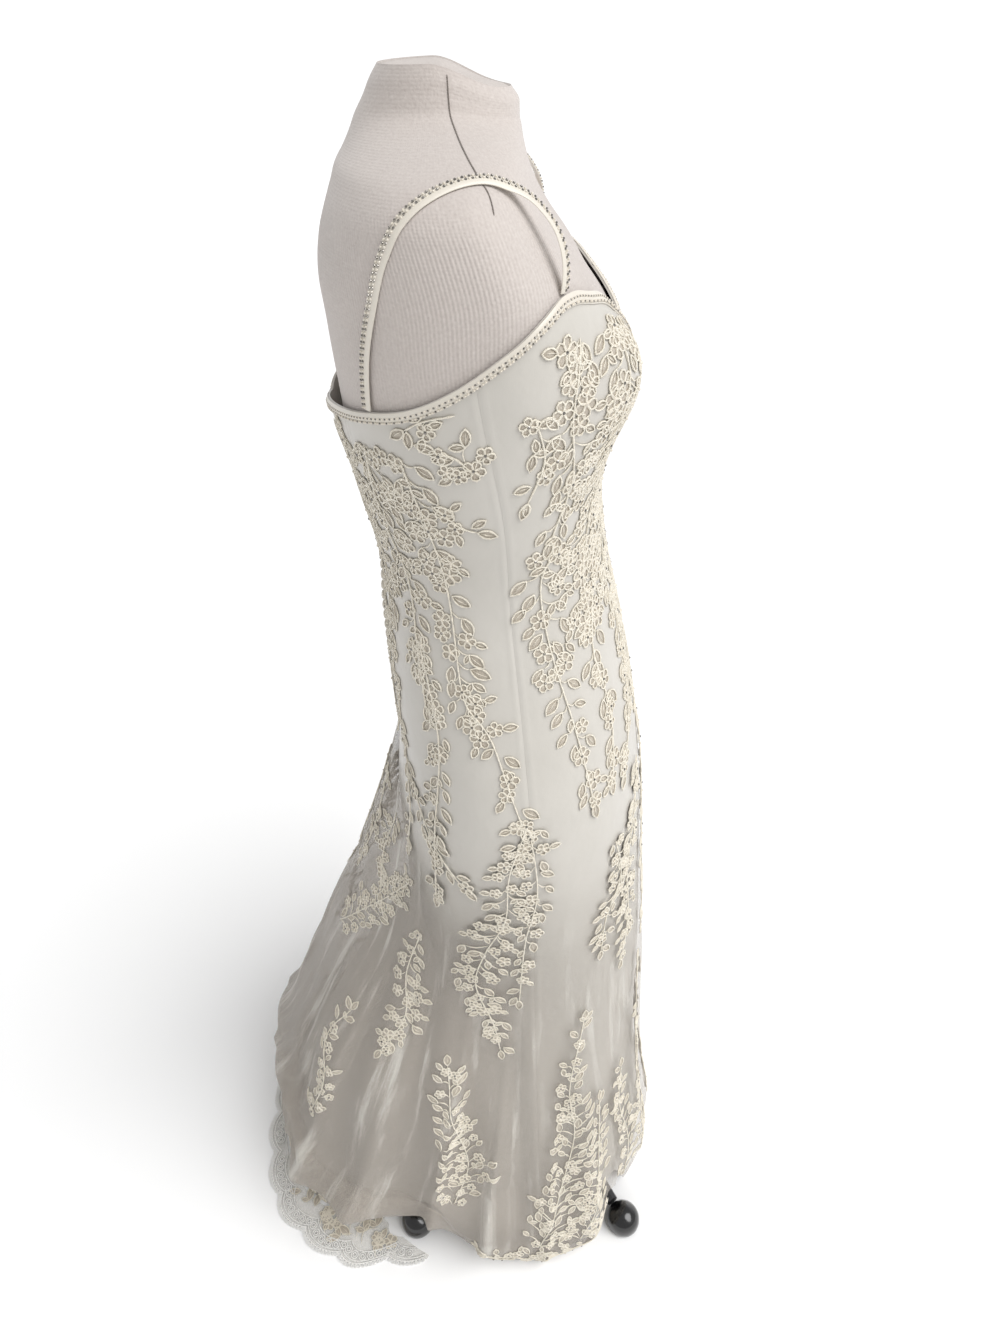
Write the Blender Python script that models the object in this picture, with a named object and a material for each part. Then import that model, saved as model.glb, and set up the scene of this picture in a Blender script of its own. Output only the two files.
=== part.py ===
"""Mermaid gown on a limbless dress form: satin panels, a loose net skirt with a lace border, beaded straps.

Metres, +Z up. The gown faces -Y, so the wearer's right is at -X. The origin is on the floor, under the
middle of the whole footprint, so the form's pole stands in front of it.
"""

import math
from collections import namedtuple

import bpy
import numpy as np

# Driving sizes
POLE_Y = -0.0930
FORM_BOTTOM = 0.620
HIP_LEVEL = 0.800
HIP_BLEND = (0.720, 0.820)
CLEARANCE = 0.0008
SEAM_GAP = 0.0003
SEAM_REACH = 0.12
SATIN_WALL = 0.0015
NET_WALL = 0.0010
APPLIQUE_RISE = 0.0014

# How much of the bust's rise is missing at its middle, on the form and where the gown bridges the cups
FORM_DIP = 0.8
GOWN_DIP = 0.35
BUST_OUT = 0.083
BUST_HEIGHT = 1.192
BUST_RISE = 0.028
BUST_WIDE = 0.050
BUST_UPPER = 0.048
BUST_LOWER = 0.046
GOWN_LOWER = 0.060

BUTTON_COUNT = 27
BUTTON_PITCH = 0.0119
BUTTON_TOP = 1.110
PLACKET_WIDTH = 0.019
PLACKET_WALL = 0.0012
PLACKET_BOTTOM = 0.790
PLACKET_ROWS = 20
PLACKET_GAP = 0.0006
PLACKET_DROP = 0.0006
BACK_REACH = 0.125
TRIM_END_DEGREES = 0.4

STRAP_WIDTH = 0.0095
STRAP_WALL = 0.0016
TRIM_WIDTH = 0.0085
TRIM_WALL = 0.0018

LEG_ANGLES = (57.0, 127.0, 233.0, 303.0)
LEG_LIFT = 0.062
LEG_LIFT_SPREAD = 8.5
FOOT_REACH = 0.258
POLE_RADIUS = 0.016
HUB_TOP = 0.085

# Radius and height above the floor, from the bottom up
HUB = ((0.038, 0.040), (0.040, 0.048), (0.040, 0.075), (0.026, HUB_TOP))
FOOT = ((0.0210, 0.0), (0.0230, 0.006), (0.0225, 0.018), (0.0170, 0.028), (0.0080, 0.034))
# Radius and distance out from the placket
BUTTON_PROFILE = ((0.0046, 0.0), (0.0052, 0.0014), (0.0034, 0.0036))

# A leg's sections, from the hub out to the foot
LegSection = namedtuple("LegSection", "reach height half_width half_height")
LEG = (
    LegSection(0.0405, 0.062, 0.0120, 0.0140),
    LegSection(0.110, 0.054, 0.0110, 0.0115),
    LegSection(0.180, 0.038, 0.0100, 0.0095),
    LegSection(0.2346, 0.020, 0.0085, 0.0080),
)

# A strap's path over the form, from the cup's top to the back. Off is how far it stands off the form's skin.
StrapPoint = namedtuple("StrapPoint", "angle height off")
STRAP_PATH = (
    StrapPoint(68.5, 1.2672, 0.0010),
    StrapPoint(69.0, 1.2825, 0.0115),
    StrapPoint(69.5, 1.2963, 0.0145),
    StrapPoint(70.0, 1.3090, 0.0132),
    StrapPoint(71.5, 1.3227, 0.0095),
    StrapPoint(74.5, 1.3326, 0.0030),
    StrapPoint(80.0, 1.3400, 0.0007),
    StrapPoint(87.5, 1.3400, 0.0007),
    StrapPoint(95.5, 1.3350, 0.0007),
    StrapPoint(102.0, 1.3252, 0.0007),
    StrapPoint(107.0, 1.3110, 0.0007),
    StrapPoint(112.5, 1.2923, 0.0007),
    StrapPoint(117.5, 1.2654, 0.0007),
    StrapPoint(121.0, 1.2359, 0.0007),
    StrapPoint(123.3, 1.2110, 0.0007),
    StrapPoint(124.8, 1.1885, 0.0010),
)
STRAP_STEPS = 30

# Horizontal sections of the form. Reaches are from the section's middle, which lies that far behind the pole.
Section = namedtuple("Section", "height front back side power middle")
FORM = (
    Section(0.600, 0.138, 0.108, 0.172, 2.2, 0.0),
    Section(0.660, 0.144, 0.111, 0.180, 2.2, 0.0),
    Section(0.740, 0.147, 0.112, 0.187, 2.2, 0.0),
    Section(0.800, 0.143, 0.110, 0.184, 2.2, 0.0),
    Section(0.880, 0.131, 0.111, 0.164, 2.2, 0.0),
    Section(0.940, 0.119, 0.110, 0.146, 2.2, 0.0),
    Section(0.990, 0.108, 0.107, 0.136, 2.2, 0.0),
    Section(1.030, 0.102, 0.110, 0.136, 2.2, 0.0),
    Section(1.080, 0.098, 0.119, 0.145, 2.2, 0.0),
    Section(1.130, 0.101, 0.126, 0.157, 2.2, 0.0),
    Section(1.180, 0.101, 0.128, 0.167, 2.3, 0.0),
    Section(1.230, 0.092, 0.130, 0.175, 2.3, 0.0),
    Section(1.270, 0.076, 0.130, 0.177, 2.3, 0.0),
    Section(1.300, 0.063, 0.117, 0.175, 2.25, 0.007),
    Section(1.318, 0.059, 0.104, 0.170, 2.2, 0.013),
    Section(1.330, 0.057, 0.096, 0.160, 2.1, 0.016),
    Section(1.340, 0.056, 0.090, 0.142, 2.1, 0.018),
    Section(1.350, 0.057, 0.080, 0.112, 2.0, 0.021),
    Section(1.360, 0.059, 0.071, 0.080, 2.0, 0.024),
    Section(1.368, 0.060, 0.065, 0.063, 2.0, 0.026),
    Section(1.380, 0.061, 0.056, 0.056, 2.0, 0.027),
    Section(1.392, 0.060, 0.049, 0.053, 2.0, 0.027),
    Section(1.400, 0.055, 0.043, 0.050, 2.0, 0.027),
)
NECK_TOP = 1.400
NECK_TILT = 0.018
NECK_TILT_FROM = 1.345
FORM_INSET = 0.0015
FORM_LEVELS = (
    0.62, 0.70, 0.78, 0.84, 0.89, 0.925, 0.955, 0.98, 1.005, 1.03, 1.055, 1.085, 1.12,
    1.155, 1.19, 1.22, 1.25, 1.28, 1.305, 1.325, 1.34, 1.352, 1.364, 1.38, 1.394, 1.40,
)
FORM_COLUMNS = 32

# The satin skirt below the hip, as reaches from the pole.
Skirt = namedtuple("Skirt", "height front side back power")
SATIN_SKIRT = (
    Skirt(0.000, 0.190, 0.252, 0.340, 2.1),
    Skirt(0.070, 0.186, 0.246, 0.330, 2.1),
    Skirt(0.160, 0.175, 0.226, 0.300, 2.1),
    Skirt(0.300, 0.168, 0.199, 0.229, 2.1),
    Skirt(0.420, 0.167, 0.184, 0.153, 2.15),
    Skirt(0.500, 0.164, 0.182, 0.127, 2.2),
    Skirt(0.600, 0.159, 0.187, 0.122, 2.2),
    Skirt(0.700, 0.154, 0.192, 0.121, 2.2),
    Skirt(0.800, 0.148, 0.189, 0.116, 2.2),
)

# How far the net skirt stands off the satin at the front, side and back.
StandOff = namedtuple("StandOff", "height front side back")
NET_STAND_OFF = (
    StandOff(0.000, 0.003, 0.003, 0.004),
    StandOff(0.030, 0.004, 0.010, 0.005),
    StandOff(0.062, 0.004, 0.013, 0.009),
    StandOff(0.100, 0.004, 0.013, 0.022),
    StandOff(0.150, 0.003, 0.010, 0.044),
    StandOff(0.190, 0.003, 0.009, 0.060),
    StandOff(0.216, 0.003, 0.008, 0.072),
    StandOff(0.240, 0.003, 0.008, 0.065),
    StandOff(0.300, 0.003, 0.007, 0.071),
    StandOff(0.360, 0.003, 0.006, 0.084),
    StandOff(0.420, 0.003, 0.005, 0.097),
    StandOff(0.480, 0.003, 0.004, 0.094),
    StandOff(0.555, 0.002, 0.003, 0.068),
    StandOff(0.625, 0.002, 0.002, 0.042),
    StandOff(0.690, 0.001, 0.001, 0.019),
    StandOff(0.740, 0.001, 0.001, 0.006),
    StandOff(0.790, 0.000, 0.000, 0.000),
)
NET_TOP = 0.790
NET_GAP = 0.0011
LACE_CLEAR = 0.020
TIP_DROP = 0.075

# Radius of the hem on the floor, by the angle from the front. Angles go from the front to the wearer's right.
HemPoint = namedtuple("HemPoint", "angle radius")
HEM_PLAN = (
    HemPoint(0, 0.190),
    HemPoint(25, 0.195),
    HemPoint(45, 0.209),
    HemPoint(57, 0.213),
    HemPoint(70, 0.244),
    HemPoint(82, 0.254),
    HemPoint(97, 0.252),
    HemPoint(112, 0.240),
    HemPoint(127, 0.236),
    HemPoint(134, 0.260),
    HemPoint(141, 0.298),
    HemPoint(150, 0.338),
    HemPoint(161, 0.360),
    HemPoint(180, 0.365),
)
HEM_BLEND = 0.150

# Top edge of the bodice, by the angle from the front.
NeckPoint = namedtuple("NeckPoint", "angle height")
NECKLINE = (
    NeckPoint(0, 1.190),
    NeckPoint(12, 1.198),
    NeckPoint(22, 1.214),
    NeckPoint(30, 1.228),
    NeckPoint(43, 1.248),
    NeckPoint(56, 1.258),
    NeckPoint(66, 1.265),
    NeckPoint(71, 1.265),
    NeckPoint(77, 1.257),
    NeckPoint(84, 1.242),
    NeckPoint(98, 1.2135),
    NeckPoint(107, 1.200),
    NeckPoint(126, 1.185),
    NeckPoint(150, 1.171),
    NeckPoint(180, 1.159),
)
BACK_GAPE = 0.009

# Seams between the panels, by height, as angles from the front.
Seams = namedtuple("Seams", "height princess side back")
SEAMS = (
    Seams(0.000, 27.0, 85.5, 146.0),
    Seams(0.500, 28.0, 83.0, 144.0),
    Seams(0.690, 28.0, 83.0, 143.0),
    Seams(0.920, 27.0, 84.0, 142.0),
    Seams(1.016, 27.0, 85.5, 142.0),
    Seams(1.080, 30.0, 86.5, 142.0),
    Seams(1.200, 35.0, 92.0, 142.0),
    Seams(1.270, 36.0, 94.0, 143.0),
)

# Folds of the net skirt: soft ridges that stand out from it, fading in below the top.
Fold = namedtuple("Fold", "angle width depth top bottom drift")
NET_FOLDS = (
    Fold(14, 6, 0.005, 0.55, 0.00, 3),
    Fold(38, 6, 0.008, 0.62, 0.02, -2),
    Fold(66, 5, 0.011, 0.50, 0.00, 3),
    Fold(85, 5, 0.009, 0.66, 0.10, 0),
    Fold(97, 5, 0.014, 0.42, 0.02, 4),
    Fold(113, 5, 0.012, 0.60, 0.04, 3),
    Fold(131, 6, 0.014, 0.68, 0.05, 5),
    Fold(147, 6, 0.016, 0.60, 0.03, 4),
    Fold(165, 6, 0.009, 0.55, 0.04, 2),
    Fold(186, 6, 0.008, 0.62, 0.03, -3),
    Fold(202, 6, 0.010, 0.56, 0.04, 2),
    Fold(219, 6, 0.013, 0.64, 0.03, -4),
    Fold(236, 6, 0.012, 0.50, 0.02, -3),
    Fold(252, 5, 0.012, 0.58, 0.04, -4),
    Fold(269, 5, 0.011, 0.44, 0.02, -3),
    Fold(288, 5, 0.009, 0.60, 0.05, -2),
    Fold(312, 6, 0.009, 0.48, 0.00, 2),
    Fold(341, 6, 0.005, 0.57, 0.00, -3),
)

# The pooled bulge low on the train's sides, by angle.
Pool = namedtuple("Pool", "angle width height depth")
NET_POOLS = (
    Pool(138, 17, 0.105, 0.022),
    Pool(165, 12, 0.070, 0.007),
    Pool(222, 17, 0.100, 0.021),
    Pool(200, 12, 0.075, 0.007),
)
POOL_TALL = 0.036

# Sprays of corded lace, raised on the bodice and the net: from the top angle and height to the bottom ones.
Spray = namedtuple("Spray", "top_angle top bottom_angle bottom width")
SPRAYS = (
    Spray(12, 1.170, 18, 0.900, 0.036),
    Spray(38, 1.225, 36, 0.960, 0.050),
    Spray(62, 1.240, 58, 1.000, 0.046),
    Spray(79, 1.075, 63, 0.800, 0.034),
    Spray(34, 0.990, 24, 0.830, 0.030),
    Spray(52, 0.720, 58, 0.560, 0.032),
    Spray(108, 1.180, 104, 1.130, 0.050),
    Spray(116, 1.155, 88, 0.800, 0.036),
    Spray(135, 1.125, 114, 0.840, 0.030),
    Spray(158, 1.130, 150, 0.860, 0.026),
    Spray(86, 0.770, 102, 0.515, 0.034),
    Spray(84, 0.790, 88, 0.513, 0.026),
    Spray(167, 0.500, 134, 0.634, 0.044),
    Spray(125, 0.585, 133, 0.410, 0.030),
    Spray(112, 0.408, 110, 0.150, 0.030),
    Spray(65, 0.442, 84, 0.080, 0.034),
    Spray(60, 0.270, 66, 0.110, 0.030),
    Spray(20, 0.560, 24, 0.100, 0.034),
)
SPRAY_REACH = (0.15, 0.18)
SPRAY_TAPER = 0.55
LEAF_PITCH = 0.055
LEAF_NOTCH = 0.25

# The lace border on the floor behind the hem: the reach of its scallops' tips.
BorderPoint = namedtuple("BorderPoint", "angle reach")
BORDER_EDGE = (
    BorderPoint(119, 0.296),
    BorderPoint(124, 0.310),
    BorderPoint(129, 0.330),
    BorderPoint(134, 0.357),
    BorderPoint(141, 0.377),
    BorderPoint(147, 0.391),
    BorderPoint(155, 0.404),
    BorderPoint(164, 0.401),
    BorderPoint(180, 0.392),
)
BORDER_FROM = 119.0
BORDER_TO = 241.0
BORDER_PAST_FOOT = 0.2850
BORDER_PAST_DEGREES = (9.0, 14.0)
BORDER_SCALLOPS = 13
SCALLOP_DEPTH = 0.012
BORDER_COLUMNS = 104
BORDER_WALL = 0.0015
BORDER_GAP = 0.0016
BORDER_NARROWEST = 0.006

# How finely the walls are cut
FRONT_COLUMNS = 9
SIDE_COLUMNS = 7
BACK_COLUMNS = 5
BODICE_ROWS = 18
SATIN_SKIRT_ROWS = 9
PANEL_KNEE = 0.740
NET_HALF_COLUMNS = 32
NET_HEIGHTS = (
    0.79, 0.74, 0.68, 0.60, 0.52, 0.44, 0.36, 0.30, 0.25, 0.216, 0.18, 0.14, 0.105, 0.075, 0.05, 0.025, 0.0,
)


def smooth(table, column, at, key="height"):
    """Value of a table's column at a height or an angle, on a smooth curve through the rows."""
    rows = sorted(table, key=lambda row: getattr(row, key))
    xs = np.array([getattr(row, key) for row in rows], float)
    ys = np.array([getattr(row, column) for row in rows], float)
    slopes = np.gradient(ys, xs)
    at = np.clip(np.asarray(at, float), xs[0], xs[-1])
    i = np.clip(np.searchsorted(xs, at) - 1, 0, len(xs) - 2)
    step = xs[i + 1] - xs[i]
    t = (at - xs[i]) / step
    rise = ys[i + 1] - ys[i]
    bend_in = slopes[i] * step - rise
    bend_out = rise - slopes[i + 1] * step
    return ys[i] + t * rise + t * (1 - t) * ((1 - t) * bend_in + t * bend_out)


def degrees(width, reach):
    """Degrees that a width takes up at a reach from the pole."""
    return math.degrees(width / reach)


def ease(value, low, high):
    """0 below low, 1 above high, and a smooth step between them."""
    t = np.clip((np.asarray(value, float) - low) / (high - low), 0, 1)
    return t * t * (3 - 2 * t)


def folded(angle):
    """The angle from the front on either side, 0 to 180 degrees."""
    turned = np.mod(np.asarray(angle, float), 360)
    return np.where(turned > 180, 360 - turned, turned)


def apart(angle, other):
    """Signed degrees from one angle to another, the short way round."""
    return np.mod(np.asarray(angle, float) - other + 180, 360) - 180


def outline(angle, front, back, side, power, middle=0.0):
    """Points of a rounded section: x to the wearer's left, y to the back, from the pole."""
    turn = np.radians(angle)
    ahead, across = np.cos(turn), np.sin(turn)
    reach = np.where(ahead > 0, front, back)
    radius = (np.abs(ahead / reach) ** power + np.abs(across / side) ** power) ** (-1 / power)
    return -radius * across, middle - radius * ahead


def bust(x, ahead, height, dip, lower):
    """How far the bust stands forward. The dip is how much of it is missing between the cups."""
    out = np.abs(x) / BUST_OUT
    beyond = np.exp(-(((np.abs(x) - BUST_OUT) / BUST_WIDE) ** 2))
    between = 1 - dip * (1 - np.minimum(out, 1) ** 2) ** 2
    across = np.where(out > 1, beyond, between)
    spread = np.where(height > BUST_HEIGHT, BUST_UPPER, lower)
    return BUST_RISE * across * np.exp(-(((height - BUST_HEIGHT) / spread) ** 2)) * ease(ahead, 0.05, 0.45)


def form_point(angle, height, dip=FORM_DIP, lower=BUST_LOWER):
    """A point of the form's skin, from the pole's foot."""
    angle, height = np.broadcast_arrays(np.asarray(angle, float), np.asarray(height, float))
    sizes = [smooth(FORM, name, height) for name in ("front", "back", "side", "power", "middle")]
    x, y = outline(angle, *sizes)
    ahead = np.cos(np.radians(angle))
    y = y - bust(x, ahead, height, dip, lower)
    tilt = NECK_TILT * ease(height, NECK_TILT_FROM, NECK_TOP) * ease(ahead, -0.1, 1.0)
    return np.stack([x, y, height - tilt], -1)


def moved_out(surface, angle, height, distance):
    """Points of a surface, moved out along its normal."""
    step_angle, step_height = 0.05, 0.0005  # degrees, metres
    across = surface(angle + step_angle, height) - surface(angle - step_angle, height)
    up = surface(angle, height + step_height) - surface(angle, height - step_height)
    normal = np.cross(up, across)
    normal /= np.linalg.norm(normal, axis=-1, keepdims=True)
    return surface(angle, height) + normal * np.asarray(distance, float)[..., None]


def around(angle, front, side, back):
    """A value that goes smoothly from the front's to the side's to the back's."""
    ahead = np.cos(np.radians(angle))
    to_front, to_back = np.maximum(ahead, 0) ** 2, np.maximum(-ahead, 0) ** 1.5
    return front * to_front + back * to_back + side * (1 - to_front - to_back)


def hem_lift(angle):
    """How high the hem rides over the stand's legs."""
    return LEG_LIFT * sum(np.exp(-((apart(angle, leg) / LEG_LIFT_SPREAD) ** 4)) for leg in LEG_ANGLES)


def neckline(angle):
    return smooth(NECKLINE, "height", folded(angle), "angle")


def fitted(angle, height):
    """The bodice's base: the form's skin, bridged round the cups, gaping a little at the back's top."""
    point = form_point(angle, height, dip=GOWN_DIP, lower=GOWN_LOWER)
    gape = BACK_GAPE * ease(height, 1.10, 1.165) * ease(folded(angle), 135, 175)
    point[..., 1] += gape
    return point


def skirt_base(angle, height):
    """The satin skirt: an ellipse-like section that settles into the hem's plan on the floor."""
    sizes = [smooth(SATIN_SKIRT, name, height) for name in ("front", "back", "side", "power")]
    x, y = outline(angle, *sizes)
    radius = np.hypot(x, y)
    plan = smooth(HEM_PLAN, "radius", folded(angle), "angle")
    foot = 1 - ease(height, 0.0, HEM_BLEND)
    scale = 1 + foot * (plan / radius - 1)
    return np.stack([x * scale, y * scale, height], -1)


def satin_inside(angle, height):
    """The inner face of the satin, from neckline to hem."""
    angle, height = np.broadcast_arrays(np.asarray(angle, float), np.asarray(height, float))
    bodice_height = np.maximum(height, FORM_BOTTOM)
    close = moved_out(fitted, angle, bodice_height, np.full(angle.shape, CLEARANCE))
    loose = skirt_base(angle, np.minimum(height, HIP_LEVEL))
    loose[..., 2] = height
    close[..., 2] = np.where(height < FORM_BOTTOM, height, close[..., 2])
    down = (1 - ease(height, *HIP_BLEND))[..., None]
    return close * (1 - down) + loose * down


def spray_rise(angle, height):
    """Height of the raised lace: a leafy band along each spray, the same on both sides."""
    side_angle = folded(angle)
    radius = np.where(height > HIP_LEVEL, *SPRAY_REACH)
    rise = np.zeros(np.shape(side_angle))
    for spray in SPRAYS:
        along = (spray.top - height) / (spray.top - spray.bottom)
        centre = spray.top_angle + (spray.bottom_angle - spray.top_angle) * along
        off = np.radians(side_angle - centre) * radius
        leaves = 1 - LEAF_NOTCH * (1 - np.cos(2 * math.pi * (spray.top - height) / LEAF_PITCH))
        half = 0.5 * spray.width * leaves * (1 - SPRAY_TAPER * np.clip(along, 0, 1))
        ends = ease(along, -0.06, 0.04) * (1 - ease(along, 0.94, 1.06))
        rise = np.maximum(rise, ends * (1 - ease(np.abs(off), 0.7 * half, 1.3 * half)))
    return APPLIQUE_RISE * rise


def satin_outside(angle, height):
    return moved_out(satin_inside, angle, height, np.full(np.shape(angle), SATIN_WALL))


def net_folds(angle, height):
    """How far the folds and the pooled bulges push the net out."""
    out = np.zeros(np.shape(angle))
    for fold in NET_FOLDS:
        down = np.clip((fold.top - height) / fold.top, 0, 1)
        off = apart(angle, fold.angle + fold.drift * down) / fold.width
        fade = ease(down, 0.0, 0.5) * ease(height, fold.bottom - 0.03, fold.bottom + 0.06)
        out += fold.depth * np.exp(-(off**2)) * fade
    for pool in NET_POOLS:
        off = apart(angle, pool.angle) / pool.width
        out += pool.depth * np.exp(-(off**2) - ((height - pool.height) / POOL_TALL) ** 2)
    return out * ease(height, 0.0, 0.03)


def net_inside(angle, height):
    """The inner face of the net skirt, pushed out from the satin along the ground."""
    angle, height = np.broadcast_arrays(np.asarray(angle, float), np.asarray(height, float))
    base = satin_outside(angle, height)
    lower = TIP_DROP * ease(180 - folded(angle), 8, 48)
    level = height + lower * ease(height, 0.0, 0.08)
    parts = (smooth(NET_STAND_OFF, name, level) for name in ("front", "side", "back"))
    stand_off = around(angle, *parts)
    out = NET_GAP + stand_off + net_folds(angle, height)
    radius = np.hypot(base[..., 0], base[..., 1])
    point = base.copy()
    point[..., 0] += base[..., 0] / radius * out
    point[..., 1] += base[..., 1] / radius * out
    return point


def clear_material(name, colour, roughness, metallic=0.0):
    material = bpy.data.materials.new(name)
    material.use_nodes = True
    shader = material.node_tree.nodes["Principled BSDF"]
    shader.inputs["Base Color"].default_value = (*colour, 1.0)
    shader.inputs["Roughness"].default_value = roughness
    shader.inputs["Metallic"].default_value = metallic
    material.diffuse_color = (*colour, 1.0)
    return material


def make_object(name, points, faces, material):
    """Adds a mesh object whose points are given from the pole's foot."""
    placed = np.asarray(points, float).reshape(-1, 3) + (0.0, POLE_Y, 0.0)
    mesh = bpy.data.meshes.new(name)
    mesh.from_pydata(placed.tolist(), [], faces)
    mesh.materials.append(material)
    mesh.validate()
    mesh.shade_smooth()
    mesh.set_sharp_from_angle(angle=math.radians(40))
    bpy.context.scene.collection.objects.link(bpy.data.objects.new(name, mesh))


def wall(name, inside, outside, material):
    """A closed wall from two grids of points.

    Rows go from top to bottom and columns from left to right, as seen from outside.
    """
    rows, columns = inside.shape[:2]
    count = rows * columns

    def out(row, column):
        return row * columns + column

    def within(row, column):
        return count + row * columns + column

    faces = []
    for row in range(rows - 1):
        for column in range(columns - 1):
            here, right = (row, column), (row, column + 1)
            below, corner = (row + 1, column), (row + 1, column + 1)
            faces.append([out(*here), out(*below), out(*corner), out(*right)])
            faces.append([within(*here), within(*right), within(*corner), within(*below)])
    for column in range(columns - 1):
        last, right = rows - 1, column + 1
        faces.append([out(0, column), out(0, right), within(0, right), within(0, column)])
        faces.append([out(last, right), out(last, column), within(last, column), within(last, right)])
    for row in range(rows - 1):
        last = columns - 1
        faces.append([out(row + 1, 0), out(row, 0), within(row, 0), within(row + 1, 0)])
        faces.append([out(row, last), out(row + 1, last), within(row + 1, last), within(row, last)])
    points = np.concatenate([outside.reshape(-1, 3), inside.reshape(-1, 3)])
    make_object(name, points, faces, material)


def turned(name, rings, material):
    """A closed solid from rings of points, bottom to top, each going the same way round, with flat ends."""
    rows, columns = rings.shape[:2]
    faces = []
    for row in range(rows - 1):
        for column in range(columns):
            after = (column + 1) % columns
            here, above = row * columns, (row + 1) * columns
            faces.append([here + column, above + column, above + after, here + after])
    faces.append([column for column in range(columns)])
    faces.append([(rows - 1) * columns + column for column in reversed(range(columns))])
    make_object(name, rings, faces, material)


def edge_angles(low_seam, high_seam, share, edge_height):
    """Angles of a panel's columns along its top or bottom edge, which the seams meet at their own heights."""
    angle = low_seam(HIP_LEVEL) * (1 - share) + high_seam(HIP_LEVEL) * share
    for _ in range(3):
        height = edge_height(angle)
        angle = low_seam(height) * (1 - share) + high_seam(height) * share
    return angle


def panel_heights(top_angle, hem_angle):
    """Heights down a panel: a short row under the binding, rows to the knee, then rows to the hem."""
    bodice = np.linspace(0, 1, BODICE_ROWS + 1)[:, None]
    skirt = np.linspace(0, 1, SATIN_SKIRT_ROWS + 1)[1:, None]
    edge = neckline(top_angle)[None, :]
    top = edge - TRIM_WIDTH - 0.001
    hem = hem_lift(hem_angle)[None, :]
    to_knee = top * (1 - bodice) + PANEL_KNEE * bodice
    to_hem = PANEL_KNEE * (1 - skirt) + hem * skirt
    return np.concatenate([edge, to_knee, to_hem])


def panel(name, low_seam, high_seam, steps, material):
    """One full-length panel between two seams, each given as a function of height that returns degrees."""
    share = np.linspace(0, 1, steps + 1)
    top_angle = edge_angles(low_seam, high_seam, share, neckline)
    hem_angle = edge_angles(low_seam, high_seam, share, hem_lift)
    heights = panel_heights(top_angle, hem_angle)
    angle = low_seam(heights) * (1 - share) + high_seam(heights) * share
    angle[0] = top_angle
    inside = satin_inside(angle, heights)
    rise = np.where(heights > NET_TOP + LACE_CLEAR, spray_rise(angle, heights), 0.0)
    rise[:2] = 0.0
    outside = moved_out(satin_inside, angle, heights, SATIN_WALL + rise)
    for grid in (inside, outside):
        grid[-1, :, 2] = hem_lift(hem_angle)
    wall(name, inside[:, ::-1], outside[:, ::-1], material)
    return top_angle


def seam(column, side, shift):
    """A seam's angle by height, moved half the gap between two pieces, on the right (1) or left (-1) side."""

    def at(height):
        angle = 180.0 if column == "centre_back" else smooth(SEAMS, column, height)
        return side * (angle + shift * degrees(0.5 * SEAM_GAP, SEAM_REACH))

    return at


def build_panels(material):
    """The seven satin panels. Returns the angles of their columns along the top edge, from the left back."""
    edges = seam("princess", -1, -1), seam("princess", 1, -1)
    front = panel("front_centre_panel", *edges, FRONT_COLUMNS, material)
    pieces = (
        ("front_side_panel", "princess", "side", SIDE_COLUMNS),
        ("back_side_panel", "side", "back", SIDE_COLUMNS),
        ("back_panel", "back", "centre_back", BACK_COLUMNS),
    )
    right = []
    for name, first, last, steps in pieces:
        right.append(panel(f"{name}_right", seam(first, 1, 1), seam(last, 1, -1), steps, material))
        panel(f"{name}_left", seam(last, -1, -1), seam(first, -1, 1), steps, material)
    right = np.concatenate(right)
    return np.concatenate([-right[::-1], front, right])


def net_columns(side):
    """Angles of the columns of the net's right (1) or left (-1) half."""
    half_gap = degrees(0.5 * SEAM_GAP, SEAM_REACH)
    start = half_gap if side > 0 else 180 + half_gap
    return np.linspace(start, start + 180 - 2 * half_gap, NET_HALF_COLUMNS + 1)


def net_half(name, columns, material):
    """Half of the net skirt, from the hip to the floor, with its folds."""
    angle = columns[None, :]
    level = np.array(NET_HEIGHTS)[:, None]
    hem = hem_lift(angle)
    heights = hem + level * (NET_TOP - hem) / NET_TOP
    angle = np.broadcast_to(angle, heights.shape)
    inside = net_inside(angle, heights)
    rise = spray_rise(angle, heights) * ease(NET_TOP - heights, 0.0, 0.05)
    outside = moved_out(net_inside, angle, heights, NET_WALL + rise)
    outside[0, :, 2] = inside[0, :, 2]
    outside[-1, :, 2] = inside[-1, :, 2]
    wall(name, inside[:, ::-1], outside[:, ::-1], material)


def build_net_skirt(material):
    net_half("net_skirt_right", net_columns(1), material)
    net_half("net_skirt_left", net_columns(-1), material)


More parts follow.
